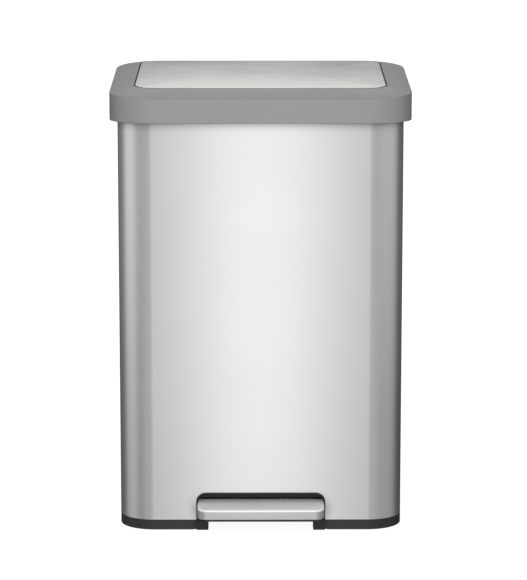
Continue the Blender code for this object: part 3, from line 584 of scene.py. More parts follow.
def drop_slivers(piece):
    """Merge the needle-thin faces that cutting and joining leave behind."""
    shape = bmesh.new()
    shape.from_mesh(piece.data)
    bmesh.ops.remove_doubles(shape, verts=shape.verts, dist=1e-5)
    bmesh.ops.dissolve_degenerate(shape, edges=shape.edges, dist=1e-5)
    shape.to_mesh(piece.data)
    shape.free()


def level_flats(piece):
    """Shade the large flat faces flat right up to the rounds beside them."""
    change = piece.modifiers.new("flats", "WEIGHTED_NORMAL")
    change.mode = "FACE_AREA"
    change.weight = 50
    change.keep_sharp = True


def combine(piece, other_shape, operation):
    """Cut a shape out of a piece, or join it on."""
    data = bpy.data.meshes.new("shaper")
    bmesh.ops.recalc_face_normals(other_shape, faces=other_shape.faces)
    other_shape.to_mesh(data)
    other_shape.free()
    shaper = bpy.data.objects.new("shaper", data)
    bpy.context.scene.collection.objects.link(shaper)
    change = piece.modifiers.new("shape", "BOOLEAN")
    change.operation = operation
    change.solver = "EXACT"
    change.object = shaper
    graph = bpy.context.evaluated_depsgraph_get()
    result = bpy.data.meshes.new_from_object(piece.evaluated_get(graph))
    old = piece.data
    piece.modifiers.remove(change)
    piece.data = result
    result.name = piece.name
    bpy.data.meshes.remove(old)
    bpy.data.objects.remove(shaper)
    bpy.data.meshes.remove(data)
    soften(piece)


def taken_back(piece):
    """The shape of a piece that is only a part of another; its object goes."""
    shape = bmesh.new()
    shape.from_mesh(piece.data)
    bpy.data.objects.remove(piece)
    return shape


def cut(piece, *shapes):
    for shape in shapes:
        combine(piece, shape, "DIFFERENCE")


def join(piece, *shapes):
    for shape in shapes:
        combine(piece, shape, "UNION")


def softened_copy(name, node, radius, finish, segments=2):
    """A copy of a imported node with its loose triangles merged, its flats cleaned and its edges eased."""
    shape = bmesh.new()
    shape.from_mesh(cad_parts[node].data)
    bmesh.ops.remove_doubles(shape, verts=shape.verts, dist=2e-6)
    bmesh.ops.dissolve_limit(
        shape,
        angle_limit=math.radians(1.0),
        verts=shape.verts,
        edges=shape.edges,
        use_dissolve_boundaries=False,
    )
    edges = sharp_edges(shape)
    if edges and radius:
        bmesh.ops.bevel(
            shape,
            geom=edges,
            offset=radius,
            offset_type="OFFSET",
            segments=segments,
            profile=0.5,
            affect="EDGES",
            material=-1,
            clamp_overlap=True,
            miter_outer="ARC",
        )
    return new_piece(name, shape, finish)


def settle(piece, body, slot, *nodes):
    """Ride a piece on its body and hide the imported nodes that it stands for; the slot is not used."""
    drop_slivers(piece)
    level_flats(piece)
    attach(piece, body)
    if nodes:
        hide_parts(*nodes)


# ---------------------------------------------------------------- finishes


def start_finish(name):
    made = bpy.data.materials.new(name)
    made.use_nodes = True
    tree = made.node_tree
    return made, tree, tree.nodes["Principled BSDF"]


def add_node(tree, kind, inputs=None, **settings):
    made = tree.nodes.new(kind)
    for setting, value in settings.items():
        setattr(made, setting, value)
    for socket, value in (inputs or {}).items():
        made.inputs[socket].default_value = value
    return made


def object_pattern(tree, scale=(1.0, 1.0, 1.0)):
    """Object coordinates stretched to the pattern's own scale."""
    place = add_node(tree, "ShaderNodeTexCoord")
    stretch = add_node(tree, "ShaderNodeMapping", {"Scale": scale})
    tree.links.new(place.outputs["Object"], stretch.inputs["Vector"])
    return stretch.outputs["Vector"]


def add_noise(tree, vector, scale, detail=2.0, roughness=0.5):
    made = add_node(
        tree,
        "ShaderNodeTexNoise",
        {"Scale": scale, "Detail": detail, "Roughness": roughness},
    )
    tree.links.new(vector, made.inputs["Vector"])
    return made.outputs["Fac"]


def remap(tree, value, low, high, from_low=0.3, from_high=0.7, kind="LINEAR"):
    limits = {"From Min": from_low, "From Max": from_high, "To Min": low, "To Max": high}
    made = add_node(tree, "ShaderNodeMapRange", limits, interpolation_type=kind)
    tree.links.new(value, made.inputs["Value"])
    return made.outputs["Result"]


def calculate(tree, operation, first, second):
    made = add_node(tree, "ShaderNodeMath", operation=operation)
    for socket, value in ((made.inputs[0], first), (made.inputs[1], second)):
        if isinstance(value, (int, float)):
            socket.default_value = value
        else:
            tree.links.new(value, socket)
    return made.outputs["Value"]


def shade_color(tree, color, factor):
    """The colour times a factor."""
    made = add_node(tree, "ShaderNodeVectorMath", operation="SCALE")
    made.inputs[0].default_value = color
    tree.links.new(factor, made.inputs["Scale"])
    return made.outputs["Vector"]


def add_bump(tree, shader, height, strength, distance):
    made = add_node(tree, "ShaderNodeBump", {"Strength": strength, "Distance": distance})
    tree.links.new(height, made.inputs["Height"])
    tree.links.new(made.outputs["Normal"], shader.inputs["Normal"])


def brushed_steel(name, grain, across, color, roughness, stretch=0.75, painted_shade=True):
    """Satin steel with fine straight grain, whose reflections spread across the grain.

    grain stretches the pattern, with small numbers along the grain; across points over it. The last
    argument turns on painted shade: the colour is darker where other pieces stand close over it.
    """
    found = bpy.data.materials.get(name)
    if found:
        return found
    made, tree, shader = start_finish(name)
    shader.inputs["Metallic"].default_value = 1.0
    shader.inputs["Anisotropic"].default_value = stretch
    spread = add_node(tree, "ShaderNodeCombineXYZ", dict(zip("XYZ", across)))
    turned = add_node(tree, "ShaderNodeVectorTransform", vector_type="VECTOR")
    turned.convert_from = "OBJECT"
    turned.convert_to = "WORLD"
    tree.links.new(spread.outputs["Vector"], turned.inputs["Vector"])
    tree.links.new(turned.outputs["Vector"], shader.inputs["Tangent"])
    lines = add_noise(tree, object_pattern(tree, grain), 1.0, 3.0, 0.62)
    coarse = add_noise(tree, object_pattern(tree, [part * 0.31 for part in grain]), 1.0, 2.0, 0.5)
    clouds = add_noise(tree, object_pattern(tree, (5.0, 5.0, 9.0)), 1.0, 2.0, 0.5)
    fine = calculate(tree, "MULTIPLY", lines, 0.65)
    grain_mix = calculate(tree, "ADD", fine, calculate(tree, "MULTIPLY", coarse, 0.35))
    tone = remap(tree, grain_mix, 0.955, 1.035)
    patch = remap(tree, clouds, 0.985, 1.015)
    both = calculate(tree, "MULTIPLY", tone, patch)
    # painted shade: ambient occlusion darkens the steel's colour under the lid and by other close pieces
    if painted_shade:
        painted_shade_ao = add_node(tree, "ShaderNodeAmbientOcclusion", {"Distance": 0.018}, samples=8)
        shade = calculate(tree, "POWER", painted_shade_ao.outputs["AO"], 1.2)
        both = calculate(tree, "MULTIPLY", both, shade)
    tree.links.new(shade_color(tree, color, both), shader.inputs["Base Color"])
    uneven = remap(tree, grain_mix, roughness - 0.04, roughness + 0.04)
    drift = remap(tree, clouds, -0.02, 0.02)
    tree.links.new(calculate(tree, "ADD", uneven, drift), shader.inputs["Roughness"])
    add_bump(tree, shader, grain_mix, 0.06, 0.0002)
    return made


def moulded_plastic(name, color, roughness, grain_size=0.0007, relief=0.05, dust=0.03, mirror=0.5):
    """Moulded plastic with a fine spark texture, a slow drift in gloss and faint rubbed marks."""
    found = bpy.data.materials.get(name)
    if found:
        return found
    made, tree, shader = start_finish(name)
    shader.inputs["Specular IOR Level"].default_value = mirror
    fine = add_noise(tree, object_pattern(tree), 1.0 / grain_size, 2.0, 0.55)
    slow = add_noise(tree, object_pattern(tree), 11.0, 3.0, 0.55)
    rubbed = add_noise(tree, object_pattern(tree, (60.0, 9.0, 130.0)), 1.0, 2.0, 0.6)
    marks = remap(tree, rubbed, 0.0, dust, 0.60, 0.78)
    tone = calculate(tree, "ADD", remap(tree, slow, 0.97, 1.03), marks)
    speck = remap(tree, fine, 0.97, 1.03)
    tone = calculate(tree, "MULTIPLY", tone, speck)
    tree.links.new(shade_color(tree, color, tone), shader.inputs["Base Color"])
    drift = remap(tree, slow, roughness - 0.04, roughness + 0.04)
    gloss = calculate(tree, "ADD", drift, remap(tree, fine, -0.03, 0.03))
    tree.links.new(gloss, shader.inputs["Roughness"])
    add_bump(tree, shader, fine, relief, grain_size)
    return made


def zinc_steel():
    """Plated steel of the screws, pins, rod and lever: small crystals and a dull sheen."""
    found = bpy.data.materials.get("zinc plate")
    if found:
        return found
    made, tree, shader = start_finish("zinc plate")
    shader.inputs["Metallic"].default_value = 1.0
    crystals = add_node(tree, "ShaderNodeTexVoronoi", {"Scale": 420.0})
    tree.links.new(object_pattern(tree), crystals.inputs["Vector"])
    clouds = add_noise(tree, object_pattern(tree), 60.0, 3.0, 0.6)
    facets = remap(tree, crystals.outputs["Distance"], 0.94, 1.04, 0.0, 0.8)
    tone = calculate(tree, "ADD", facets, remap(tree, clouds, -0.05, 0.05))
    tree.links.new(shade_color(tree, (0.56, 0.57, 0.58), tone), shader.inputs["Base Color"])
    tree.links.new(remap(tree, clouds, 0.28, 0.44), shader.inputs["Roughness"])
    add_bump(tree, shader, clouds, 0.08, 0.0004)
    return made


def rubber():
    """Dull black rubber of the feet and bumpers."""
    found = bpy.data.materials.get("black rubber")
    if found:
        return found
    made, tree, shader = start_finish("black rubber")
    grit = add_noise(tree, object_pattern(tree), 900.0, 3.0, 0.6)
    dust = add_noise(tree, object_pattern(tree), 40.0, 3.0, 0.6)
    tone = calculate(tree, "ADD", remap(tree, grit, 0.85, 1.15), remap(tree, dust, 0.0, 0.5, 0.5, 0.8))
    tree.links.new(shade_color(tree, (0.022, 0.022, 0.023), tone), shader.inputs["Base Color"])
    tree.links.new(remap(tree, grit, 0.78, 0.92), shader.inputs["Roughness"])
    add_bump(tree, shader, grit, 0.15, 0.0003)
    return made


WALL_GRAIN = (14.0, 14.0, 2600.0)
TOP_GRAIN = (14.0, 2200.0, 2200.0)


def finish_settings():
    return bpy.context.scene.step_bin_finish


def shape_settings():
    return bpy.context.scene.step_bin_shape


def wall_steel():
    look = finish_settings()
    rough = look.steel_roughness
    return brushed_steel("brushed steel wall", WALL_GRAIN, (0, 0, 1), look.steel_color, rough)


def sheet_steel():
    look = finish_settings()
    rough = look.steel_roughness - 0.10
    return brushed_steel("brushed steel sheet", TOP_GRAIN, (0, 1, 0), look.sheet_color, rough, 0.3)


def pedal_steel():
    """Steel of the pedal's cover: a near-white, little-mirrored top as painted reflection, and a face
    darkened as painted shade.
    """
    look = finish_settings()
    made = brushed_steel("pedal steel", TOP_GRAIN, (0, 1, 0), look.pedal_color, 0.36, 0.4, False)
    tree = made.node_tree
    shader = tree.nodes["Principled BSDF"]
    place = add_node(tree, "ShaderNodeTexCoord")
    parts = add_node(tree, "ShaderNodeSeparateXYZ")
    tree.links.new(place.outputs["Object"], parts.inputs["Vector"])
    rise = calculate(tree, "MULTIPLY", parts.outputs["Y"], TREAD_SLOPE)
    height = calculate(tree, "SUBTRACT", parts.outputs["Z"], rise)
    top = TREAD_FRONT_Z - TREAD_SLOPE * TREAD_LOW.y
    # Little mirroring on the top, more on the face: the top's scattered near-white is a painted reflection
    metal = remap(tree, height, 0.85, look.pedal_metal, top - 0.0032, top - 0.0008)
    tree.links.new(metal, shader.inputs["Metallic"])
    grain = shader.inputs["Base Color"].links[0].from_socket
    # Painted shade: the colour of the upright face is darkened below the top
    face_painted_shade = add_node(tree, "ShaderNodeVectorMath", operation="SCALE")
    tree.links.new(grain, face_painted_shade.inputs[0])
    face = remap(tree, height, look.pedal_face_painted_shade, 1.0, top - 0.0034, top - 0.0016)
    tree.links.new(face, face_painted_shade.inputs["Scale"])
    tree.links.new(face_painted_shade.outputs["Vector"], shader.inputs["Base Color"])
    return made


def lid_plastic():
    return moulded_plastic("grey lid plastic", finish_settings().lid_color, 0.42)


def black_plastic():
    color = finish_settings().base_color
    return moulded_plastic("black base plastic", color, 0.34, relief=0.03, dust=0.01, mirror=0.3)


def surround_plastic():
    color = finish_settings().surround_color
    return moulded_plastic("black surround plastic", color, 0.34, relief=0.03, dust=0.01, mirror=0.3)


def bucket_plastic():
    return moulded_plastic("bucket plastic", finish_settings().bucket_color, 0.52, 0.0010)


# ---------------------------------------------------------------- body


def build_body():
    look = shape_settings()
    wall = look.shell_wall
    low = BODY_LOW.z
    high = BODY_HIGH.z
    stations = [
        (body_plan(0.0), level(low), 0.0002),
        (body_plan(0.0), level(high), 0.0),
        (body_plan(wall), level(high), 0.0),
        (body_plan(wall), level(low), 0.0002),
    ]
    shape = stack(stations, look.corner_steps, closed=True)
    body = new_piece("body_wrap", shape, wall_steel())
    front = BODY_LOW.y - 2 * OVERSHOOT
    back = BODY_LOW.y + 2 * OVERSHOOT
    cut(body, arch_block(NOTCH_HALF, NOTCH_TOP_Z, NOTCH_RADIUS, -OVERSHOOT, front, back))
    settle(body, "body", "brushed_steel", "body_shell")


def build_back_seam():
    """The folded lock seam down the middle of the back."""
    half = 0.0045
    low = (-half, BODY_HIGH.y - 0.0002, BODY_LOW.z + 0.002)
    high = (half, BODY_HIGH.y + 0.0006, BODY_HIGH.z - 0.024)
    shape = block(low, high)
    outer = [edge for edge in sharp_edges(shape) if all(vert.co.y > BODY_HIGH.y for vert in edge.verts)]
    round_edges(shape, outer, EASED, 3)
    settle(new_piece("back_seam", shape, wall_steel()), "body", "brushed_steel")


def build_base():
    look = shape_settings()
    stations = [
        (body_plan(LINING_IN), level(FLOOR_UNDER_Z), 0.0),
        (body_plan(LINING_IN), level(BAND_UNDER_Z), EASED),
        (body_plan(0.0), level(BAND_UNDER_Z), ROUNDED),
        (body_plan(0.0), level(BAND_Z), EASED),
        (body_plan(PLASTIC_IN), level(BAND_Z), 0.0),
        (body_plan(PLASTIC_IN), level(BASE_HIGH.z), EASED),
        (body_plan(LINING_IN), level(BASE_HIGH.z), EASED),
        (body_plan(LINING_IN), level(FLOOR_UNDER_Z + FLOOR_WALL), 0.0015),
    ]
    shape = stack(stations, look.corner_steps)
    base = new_piece("base_band", shape, black_plastic())
    seat_half = SURROUND_HIGH.x - 0.00005
    front = BODY_LOW.y - 2 * OVERSHOOT
    back = SURROUND_HIGH.y + GAP
    cut(base, arch_block(seat_half, NOTCH_TOP_Z, NOTCH_RADIUS, -OVERSHOOT, front, back))
    for side in (-1, 1):
        near, far = sorted((side * (seat_half - 0.0005), side * (seat_half + 0.0045)))
        low = (near, BODY_LOW.y - OVERSHOOT, -OVERSHOOT)
        cut(base, block(low, (far, BODY_LOW.y + 0.0024, BAND_Z + 0.001)))
    cut(base, rod_slot(BASE_ROD_WINDOW, FLOOR_UNDER_Z))
    for side in ("front_left", "front_right", "rear_left", "rear_right"):
        foot_low, foot_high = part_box("foot_" + side)
        middle = (foot_low + foot_high) / 2
        top = (middle.x, middle.y, FLOOR_UNDER_Z + 0.0005)
        join(base, rod((middle.x, middle.y, foot_high.z + GAP), top, FOOT_POST))
    settle(base, "body", "black_plastic", "base_tray")


def build_collar():
    look = shape_settings()
    under = RIM_Z - 0.0045
    flange_under = RIM_Z - 0.0035
    stations = [
        (body_plan(0.0), level(under), 0.0003),
        (body_plan(0.0), level(RIM_Z), ROUNDED),
        (opening_plan(0.0), level(RIM_Z), ROUNDED),
        (opening_plan(0.0), level(flange_under), EASED),
        (body_plan(LINING_IN), level(flange_under), 0.0006),
        (body_plan(LINING_IN), level(COLLAR_LOW.z), EASED),
        (body_plan(PLASTIC_IN), level(COLLAR_LOW.z), EASED),
        (body_plan(PLASTIC_IN), level(under), 0.0),
    ]
    collar = new_piece("collar", stack(stations, look.corner_steps, closed=True), black_plastic())
    cut(collar, rod_slot(ROD_WINDOW, RIM_Z))
    settle(collar, "body", "black_plastic", "collar_ring")


def rod_slot(reach, height):
    """A hole that the push rod comes up through, round one height."""
    depth = 2 * OVERSHOOT
    return block((-reach, ROD_Y - reach, height - depth), (reach, ROD_Y + reach, height + depth))


def build_bucket():
    look = shape_settings()
    wall = look.bucket_wall
    play = 0.0015  # between the bucket's lip and the opening
    lip = 0.004
    lip_depth = 0.006
    taper = play + 0.012  # how far the foot of the bucket stands in from the opening
    top = BUCKET_HIGH.z
    stations = [
        (opening_plan(taper + wall + lip), level(BUCKET_LOW.z + wall), 0.006),
        (opening_plan(play + lip + wall), level(top - lip_depth), 0.0),
        (opening_plan(play + lip + wall), level(top), 0.0008),
        (opening_plan(play), level(top), 0.0016),
        (opening_plan(play), level(top - lip_depth), 0.0007),
        (opening_plan(play + lip), level(top - lip_depth), 0.0007),
        (opening_plan(taper + lip), level(BUCKET_LOW.z), 0.008),
    ]
    bucket = new_piece("lift_out_bucket", stack(stations, look.corner_steps), bucket_plastic())
    middle = (opening_plan().low.y + opening_plan().high.y) / 2
    grip_half = 0.045
    grip = block((-0.5, middle - grip_half, top - 0.040), (0.5, middle + grip_half, top - 0.018))
    across = [edge for edge in grip.edges if abs(edge.verts[0].co.x - edge.verts[1].co.x) > 0.5]
    round_edges(grip, across, 0.010, 8)
    cut(bucket, grip)
    settle(bucket, "body", "bucket_plastic", "bucket")


# ---------------------------------------------------------------- pedal


def build_pedal_surround():
    """The black arch round the pedal, with its two feet beside the pedal."""
    half = SURROUND_HIGH.x
    top = SURROUND_HIGH.z
    radius = NOTCH_RADIUS - GAP
    leg = 0.0008
    roof = 0.002
    front = BODY_LOW.y - 0.0006
    back = SURROUND_HIGH.y
    shape = arch_block(half, top, radius, BAND_UNDER_Z, front, back)
    surround = new_piece("pedal_surround", shape, surround_plastic())
    inner_half = half - leg
    ahead = front - OVERSHOOT
    behind = back + OVERSHOOT
    cut(
        surround,
        arch_block(inner_half, top - roof, radius - roof, BAND_Z, ahead, behind),
        block((CHEEK_WIDTH - half, ahead, -OVERSHOOT), (half - CHEEK_WIDTH, behind, BAND_Z + 0.001)),
    )
    for side in (-1, 1):
        near, far = sorted((side * (half - CHEEK_WIDTH), side * half))
        cheek = block((near, SURROUND_LOW.y, BAND_UNDER_Z), (far, BODY_LOW.y + 0.002, BAND_Z))
        rim = [edge for edge in cheek.edges if all(vert.co.y < BODY_LOW.y for vert in edge.verts)]
        round_edges(cheek, rim, 0.0007, 3)
        join(surround, cheek)
    join(surround, apron_shape(inner_half + leg / 2, top - leg, back))
    half = NOTCH_HALF + 0.0002
    lip = arch_block(half, NOTCH_TOP_Z + 0.0004, NOTCH_RADIUS + 0.0002, BAND_Z, front, front + 0.0005)
    join(surround, lip)
    cut(surround, arch_block(inner_half, top - roof, radius - roof, BAND_Z, ahead, front + OVERSHOOT))
    settle(surround, "body", "black_plastic", "pedal_bezel")


def apron_shape(half, top, back):
    """The wall behind the pedal, arched like the notch and open below for the lever."""
    window_half = LEVER_HIGH.x + 0.0008
    window_top = tread_z(back) - 0.0016
    shape = arch_block(half, top, NOTCH_RADIUS, APRON_HEM_Z, back - APRON_WALL, back)
    wall = new_piece("wall", shape, black_plastic())
    low = (-window_half, back - OVERSHOOT, APRON_HEM_Z - OVERSHOOT)
    cut(wall, block(low, (window_half, back + OVERSHOOT, window_top)))
    return taken_back(wall)


def pedal_plan(inset, back):
    """The pedal from above; its back stays in one line while the rest is inset."""
    low = (TREAD_LOW.x - PEDAL_EASE, TREAD_LOW.y)
    plan = Plan(low, (TREAD_HIGH.x + PEDAL_EASE, back), PEDAL_RADIUS, PEDAL_REAR_RADIUS)
    made = plan.inset(inset)
    made.high.y = back
    return made


def pedal_hem(front_z, rear_depth):
    """Lower edge of the pedal's sides: low at the front and just under the tread at the back."""
    start = TREAD_LOW.y + PEDAL_RADIUS
    end = TREAD_HIGH.y - 0.0040

    def height(y):
        share = min(max((y - start) / (end - start), 0.0), 1.0)
        return front_z + (tread_z(y) - rear_depth - front_z) * share

    return height


def build_pedal_plate():
    look = shape_settings()
    sheet = PEDAL_SHEET
    back = TREAD_HIGH.y
    hem = pedal_hem(TREAD_FRONT_Z - PEDAL_FACE, sheet + 0.0004)
    stations = [
        (pedal_plan(sheet, back - sheet), above(tread_z, -sheet), look.tread_round - sheet / 2),
        (pedal_plan(sheet, back - sheet), hem, 0.0),
        (pedal_plan(0.0, back), hem, 0.0),
        (pedal_plan(0.0, back), tread_z, look.tread_round),
    ]
    plate = new_piece("pedal_plate", stack(stations, 16), pedal_steel())
    settle(plate, "pedal", "brushed_steel", "pedal_tread")


def build_pedal_body():
    piece = softened_copy("pedal_body", "pedal_core", EASED, black_plastic())
    settle(piece, "pedal", "black_plastic", "pedal_core")


# ---------------------------------------------------------------- lid


def crown_stations(outer, inner, outer_z, inner_z, count, crown):
    """Rings over the lid's border, rising quickly from its edge and levelling out by the steel sheet."""
    made = []
    for step in range(1, count):
        share = step / count
        rise = 1.0 - (1.0 - share) ** crown

        def height(y, share=share, rise=rise):
            return outer_z(y) + (inner_z(y) - outer_z(y)) * rise

        made.append((outer.toward(inner, share), height, 0.0))
    return made


def build_lid_cover():
    look = shape_settings()
    wall = look.lid_wall
    skirt = LID_LOW.z
    recess = PANEL_PROUD - PANEL_SHEET - GAP
    stations = [
        (panel_plan(0.0), above(panel_z, recess - wall), 0.0),
        (lid_plan(wall), above(edge_z, -0.0035), 0.0010),
        (lid_plan(wall), level(skirt), 0.0005),
        (lid_plan(0.0), level(skirt), ROUNDED),
        (lid_plan(0.0), edge_z, look.crease_round),
    ]
    stations += crown_stations(lid_plan(0.0), panel_plan(0.0), edge_z, panel_z, 10, look.crown)
    stations += [
        (panel_plan(0.0), panel_z, 0.0006),
        (panel_plan(0.0), above(panel_z, recess), 0.0),
    ]
    cover = new_piece("lid_cover", stack(stations, look.corner_steps), lid_plastic())
    under_rear = block((-0.5, SPLIT_Y, skirt - 0.02), (0.5, LID_HIGH.y + 0.02, LID_REAR_EDGE_Z))
    cut(cover, under_rear)
    settle(cover, "lid", "lid_plastic", "lid_frame")


def sheet_z(inset):
    """Height of the steel sheet's top at a distance in from its edge: very slightly domed."""
    look = shape_settings()
    half_depth = (panel_plan().high.y - panel_plan().low.y) / 2
    share = min(inset / half_depth, 1.0)
    return above(panel_z, PANEL_PROUD + look.sheet_dome * (1.0 - (1.0 - share) ** 2))


def build_lid_sheet():
    look = shape_settings()
    stations = [
        (panel_plan(PANEL_GROOVE), above(panel_z, PANEL_PROUD - PANEL_SHEET), 0.0),
        (panel_plan(PANEL_GROOVE), above(panel_z, PANEL_PROUD), EASED),
    ]
    round_end = 0.028  # further in, the corners keep the same small radius
    for inset in (0.006, 0.013, 0.020, round_end):
        stations.append((panel_plan(inset), sheet_z(inset), 0.0))
    outline = panel_plan(round_end)
    for inset in (0.044, 0.060, 0.076, 0.092, 0.108, 0.120):
        step = Vector((inset - round_end, inset - round_end))
        inner = Plan(outline.low + step, outline.high - step, 0.002)
        stations.append((inner, sheet_z(inset), 0.0))
    sheet = new_piece("lid_sheet", stack(stations, look.corner_steps), sheet_steel())
    settle(sheet, "lid", "brushed_steel", "lid_panel")


def build_groove_shade_strip():
    """A thin black strip in the groove round the steel sheet: painted shade, a dark piece standing in for
    the groove's shadow.
    """
    look = shape_settings()
    floor_z = above(panel_z, PANEL_PROUD - PANEL_SHEET - GAP + 0.00002)
    stations = [
        (panel_plan(0.00005), floor_z, 0.0),
        (panel_plan(0.00005), above(panel_z, -0.0001), 0.0),
        (panel_plan(PANEL_GROOVE - 0.00005), above(panel_z, -0.0001), 0.0),
        (panel_plan(PANEL_GROOVE - 0.00005), floor_z, 0.0),
    ]
    shade_strip = new_piece("groove_shade_strip", stack(stations, look.corner_steps, closed=True), rubber())
    settle(shade_strip, "lid", "rubber")


def build_lid_lining():
    piece = softened_copy("lid_lining", "lid_liner", EASED, black_plastic())
    settle(piece, "lid", "black_plastic", "lid_liner")


def build_rear_cover():
    """The fixed moulding round the hinge, which carries the lid's outline round the back."""
    look = shape_settings()
    wall = look.lid_wall
    skirt = COVER_LOW.z
    lip = opening_plan(0.0)
    lip.high.y = lip.high.y + 0.0005
    stations = [
        (lid_plan(0.0), level(skirt), ROUNDED),
        (lid_plan(0.0), level(SEAM_Z), 0.0005),
        (lid_plan(0.0006), level(SEAM_Z), 0.0),
        (lid_plan(wall), level(SEAM_Z - 0.0027), 0.0),
        (lid_plan(wall), level(DECK_TOP_Z), 0.0008),
        (lip, level(DECK_TOP_Z), 0.0005),
        (lip, level(DECK_UNDER_Z), 0.0),
        (lid_plan(wall), level(DECK_UNDER_Z), 0.0),
        (lid_plan(wall), level(skirt), 0.0005),
    ]
    cover = new_piece("rear_cover", stack(stations, look.corner_steps, closed=True), lid_plastic())
    front = block((-0.5, LID_LOW.y - 0.05, skirt - 0.05), (0.5, COVER_LOW.y, RIM_Z + 0.1))
    cut(cover, front, rod_slot(ROD_WINDOW, RIM_Z))
    for share in FIXED_KNUCKLES:
        join(cover, knuckle_shape(share * BARREL_HALF))
    for side in ("left", "mid_left", "mid_right", "right"):
        low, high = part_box("housing_screw_" + side)
        middle = (low + high) / 2
        bottom = (middle.x, middle.y, RIM_Z - OVERSHOOT)
        cut(cover, rod(bottom, (middle.x, middle.y, DECK_TOP_Z + 0.0002), SCREW_HOLE))
    reach = BARREL_HALF + OVERSHOOT
    cut(cover, rod((-reach, AXIS_Y, AXIS_Z), (reach, AXIS_Y, AXIS_Z), PIN_HIGH.z - AXIS_Z + GAP))
    settle(cover, "body", "lid_plastic", "rear_housing")


def knuckle_shape(x):
    """One fixed knuckle of the hinge, with the web that carries it on the deck."""
    half = KNUCKLE_WIDTH / 2
    barrel = rod((x - half, AXIS_Y, AXIS_Z), (x + half, AXIS_Y, AXIS_Z), BARREL_RADIUS, 40)
    round_edges(barrel, sharp_edges(barrel), EASED, 2)
    knuckle = new_piece("knuckle", barrel, lid_plastic())
    web_back = AXIS_Y - 0.0062
    web_front = web_back - 0.0058
    join(
        knuckle,
        block((x - half, web_front, DECK_TOP_Z - 0.001), (x + half, web_back, AXIS_Z - 0.0035)),
        block((x - half, AXIS_Y - BARREL_RADIUS, AXIS_Z - 0.0060), (x + half, AXIS_Y - 0.002, AXIS_Z)),
    )
    return taken_back(knuckle)


# ---------------------------------------------------------------- works under the skin


def build_works():
    """The hinge, rod, lever and their small parts, with eased edges."""
    black = black_plastic()
    zinc = zinc_steel()
    soft = rubber()
    pieces = [
        ("hinge_bar", "lid_hinge_bar", "lid", "lid_plastic", lid_plastic(), 0.0003),
        ("crank", "lid_crank", "lid", "black_plastic", black, 0.0003),
        ("lever", "pedal_lever", "pedal", "zinc_steel", zinc, 0.0003),
        ("rod_cap", "rod_head", "rod", "black_plastic", black, 0.0005),
        ("rod_shoe", "rod_foot", "rod", "black_plastic", black, 0.0005),
        ("guide_low", "rod_guide_lower", "body", "black_plastic", black, 0.0003),
        ("guide_high", "rod_guide_upper", "body", "black_plastic", black, 0.0003),
        ("bracket_left", "axle_bracket_left", "body", "black_plastic", black, EASED),
        ("bracket_right", "axle_bracket_right", "body", "black_plastic", black, EASED),
    ]
    for name, node, body, slot, finish, radius in pieces:
        settle(softened_copy(name, node, radius, finish), body, slot, node)
    plated = ("hinge_pin", "lever_axle", "roller_pin", "push_rod")
    for node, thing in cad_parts.items():
        finish = None
        if node.startswith(("foot_", "lid_bumper_")):
            finish = soft
        elif "screw" in node or "clip" in node or node in plated:
            finish = zinc
        elif node == "crank_roller":
            finish = black
        if finish:
            for place in thing.material_slots:
                place.material = finish


# ---------------------------------------------------------------- studio


def stage_object(name, shape, paint):
    """A studio object, which isn't part of the bin."""
    data = bpy.data.meshes.new(name)
    shape.to_mesh(data)
    shape.free()
    data.materials.append(paint)
    data.shade_smooth()
    thing = bpy.data.objects.new(name, data)
    bpy.context.scene.collection.objects.link(thing)
    return thing


def build_floor():
    """A plain pale floor that glows a little, so that it stays even out to the horizon."""
    shape = bmesh.new()
    bmesh.ops.create_grid(shape, x_segments=1, y_segments=1, size=60.0)
    paint, _, shader = start_finish("pale floor")
    shader.inputs["Base Color"].default_value = (0.30, 0.30, 0.30, 1.0)
    shader.inputs["Roughness"].default_value = 0.9
    shader.inputs["Specular IOR Level"].default_value = 0.1
    shader.inputs["Emission Color"].default_value = (1.0, 1.0, 1.0, 1.0)
    shader.inputs["Emission Strength"].default_value = 0.93
    floor = stage_object("floor", shape, paint)
    floor.visible_glossy = False
    floor.visible_diffuse = False


TENT_RADIUS = 0.95
TENT_HEIGHT = 3.0
TENT_MIDDLE_Z = 0.5
TENT_WINDOW = 1.20  # brightness that the soft window in front adds
TENT_WINDOW_WIDTH = 8.5  # degrees from its middle to where it has faded to about a third
TENT_WINDOW_EDGE = 2.4  # 2 is a bell; more has a flatter top
TENT_GLOW = (  # degrees round from the front, with the left side negative, and brightness
    (-180.0, 1.00),
    (-162.0, 0.90),
    (-150.0, 0.60),
    (-120.0, 0.23),
    (-100.0, 0.42),
    (-86.0, 0.86),
    (-70.0, 0.90),
    (-57.0, 0.64),
    (-44.0, 0.54),
    (-21.0, 0.58),
    (0.0, 0.54),
    (18.0, 0.61),
    (30.0, 0.58),
    (60.0, 0.66),
    (78.0, 0.64),
    (95.0, 0.42),
    (118.0, 0.15),
    (150.0, 0.58),
    (162.0, 0.90),
    (180.0, 1.00),
)


TENT_FADES = (  # axis, places along it where a band starts and is full, its heights, its factors there
    ("Y", (0.55, 0.80), (0.84, 1.10), (0.10, 1.20)),
    ("X", (0.45, 0.75), (-0.10, 0.45), (0.62, 1.06)),
    ("Y", (-0.75, -0.90), (-0.20, -0.02), (0.76, 1.0)),
)


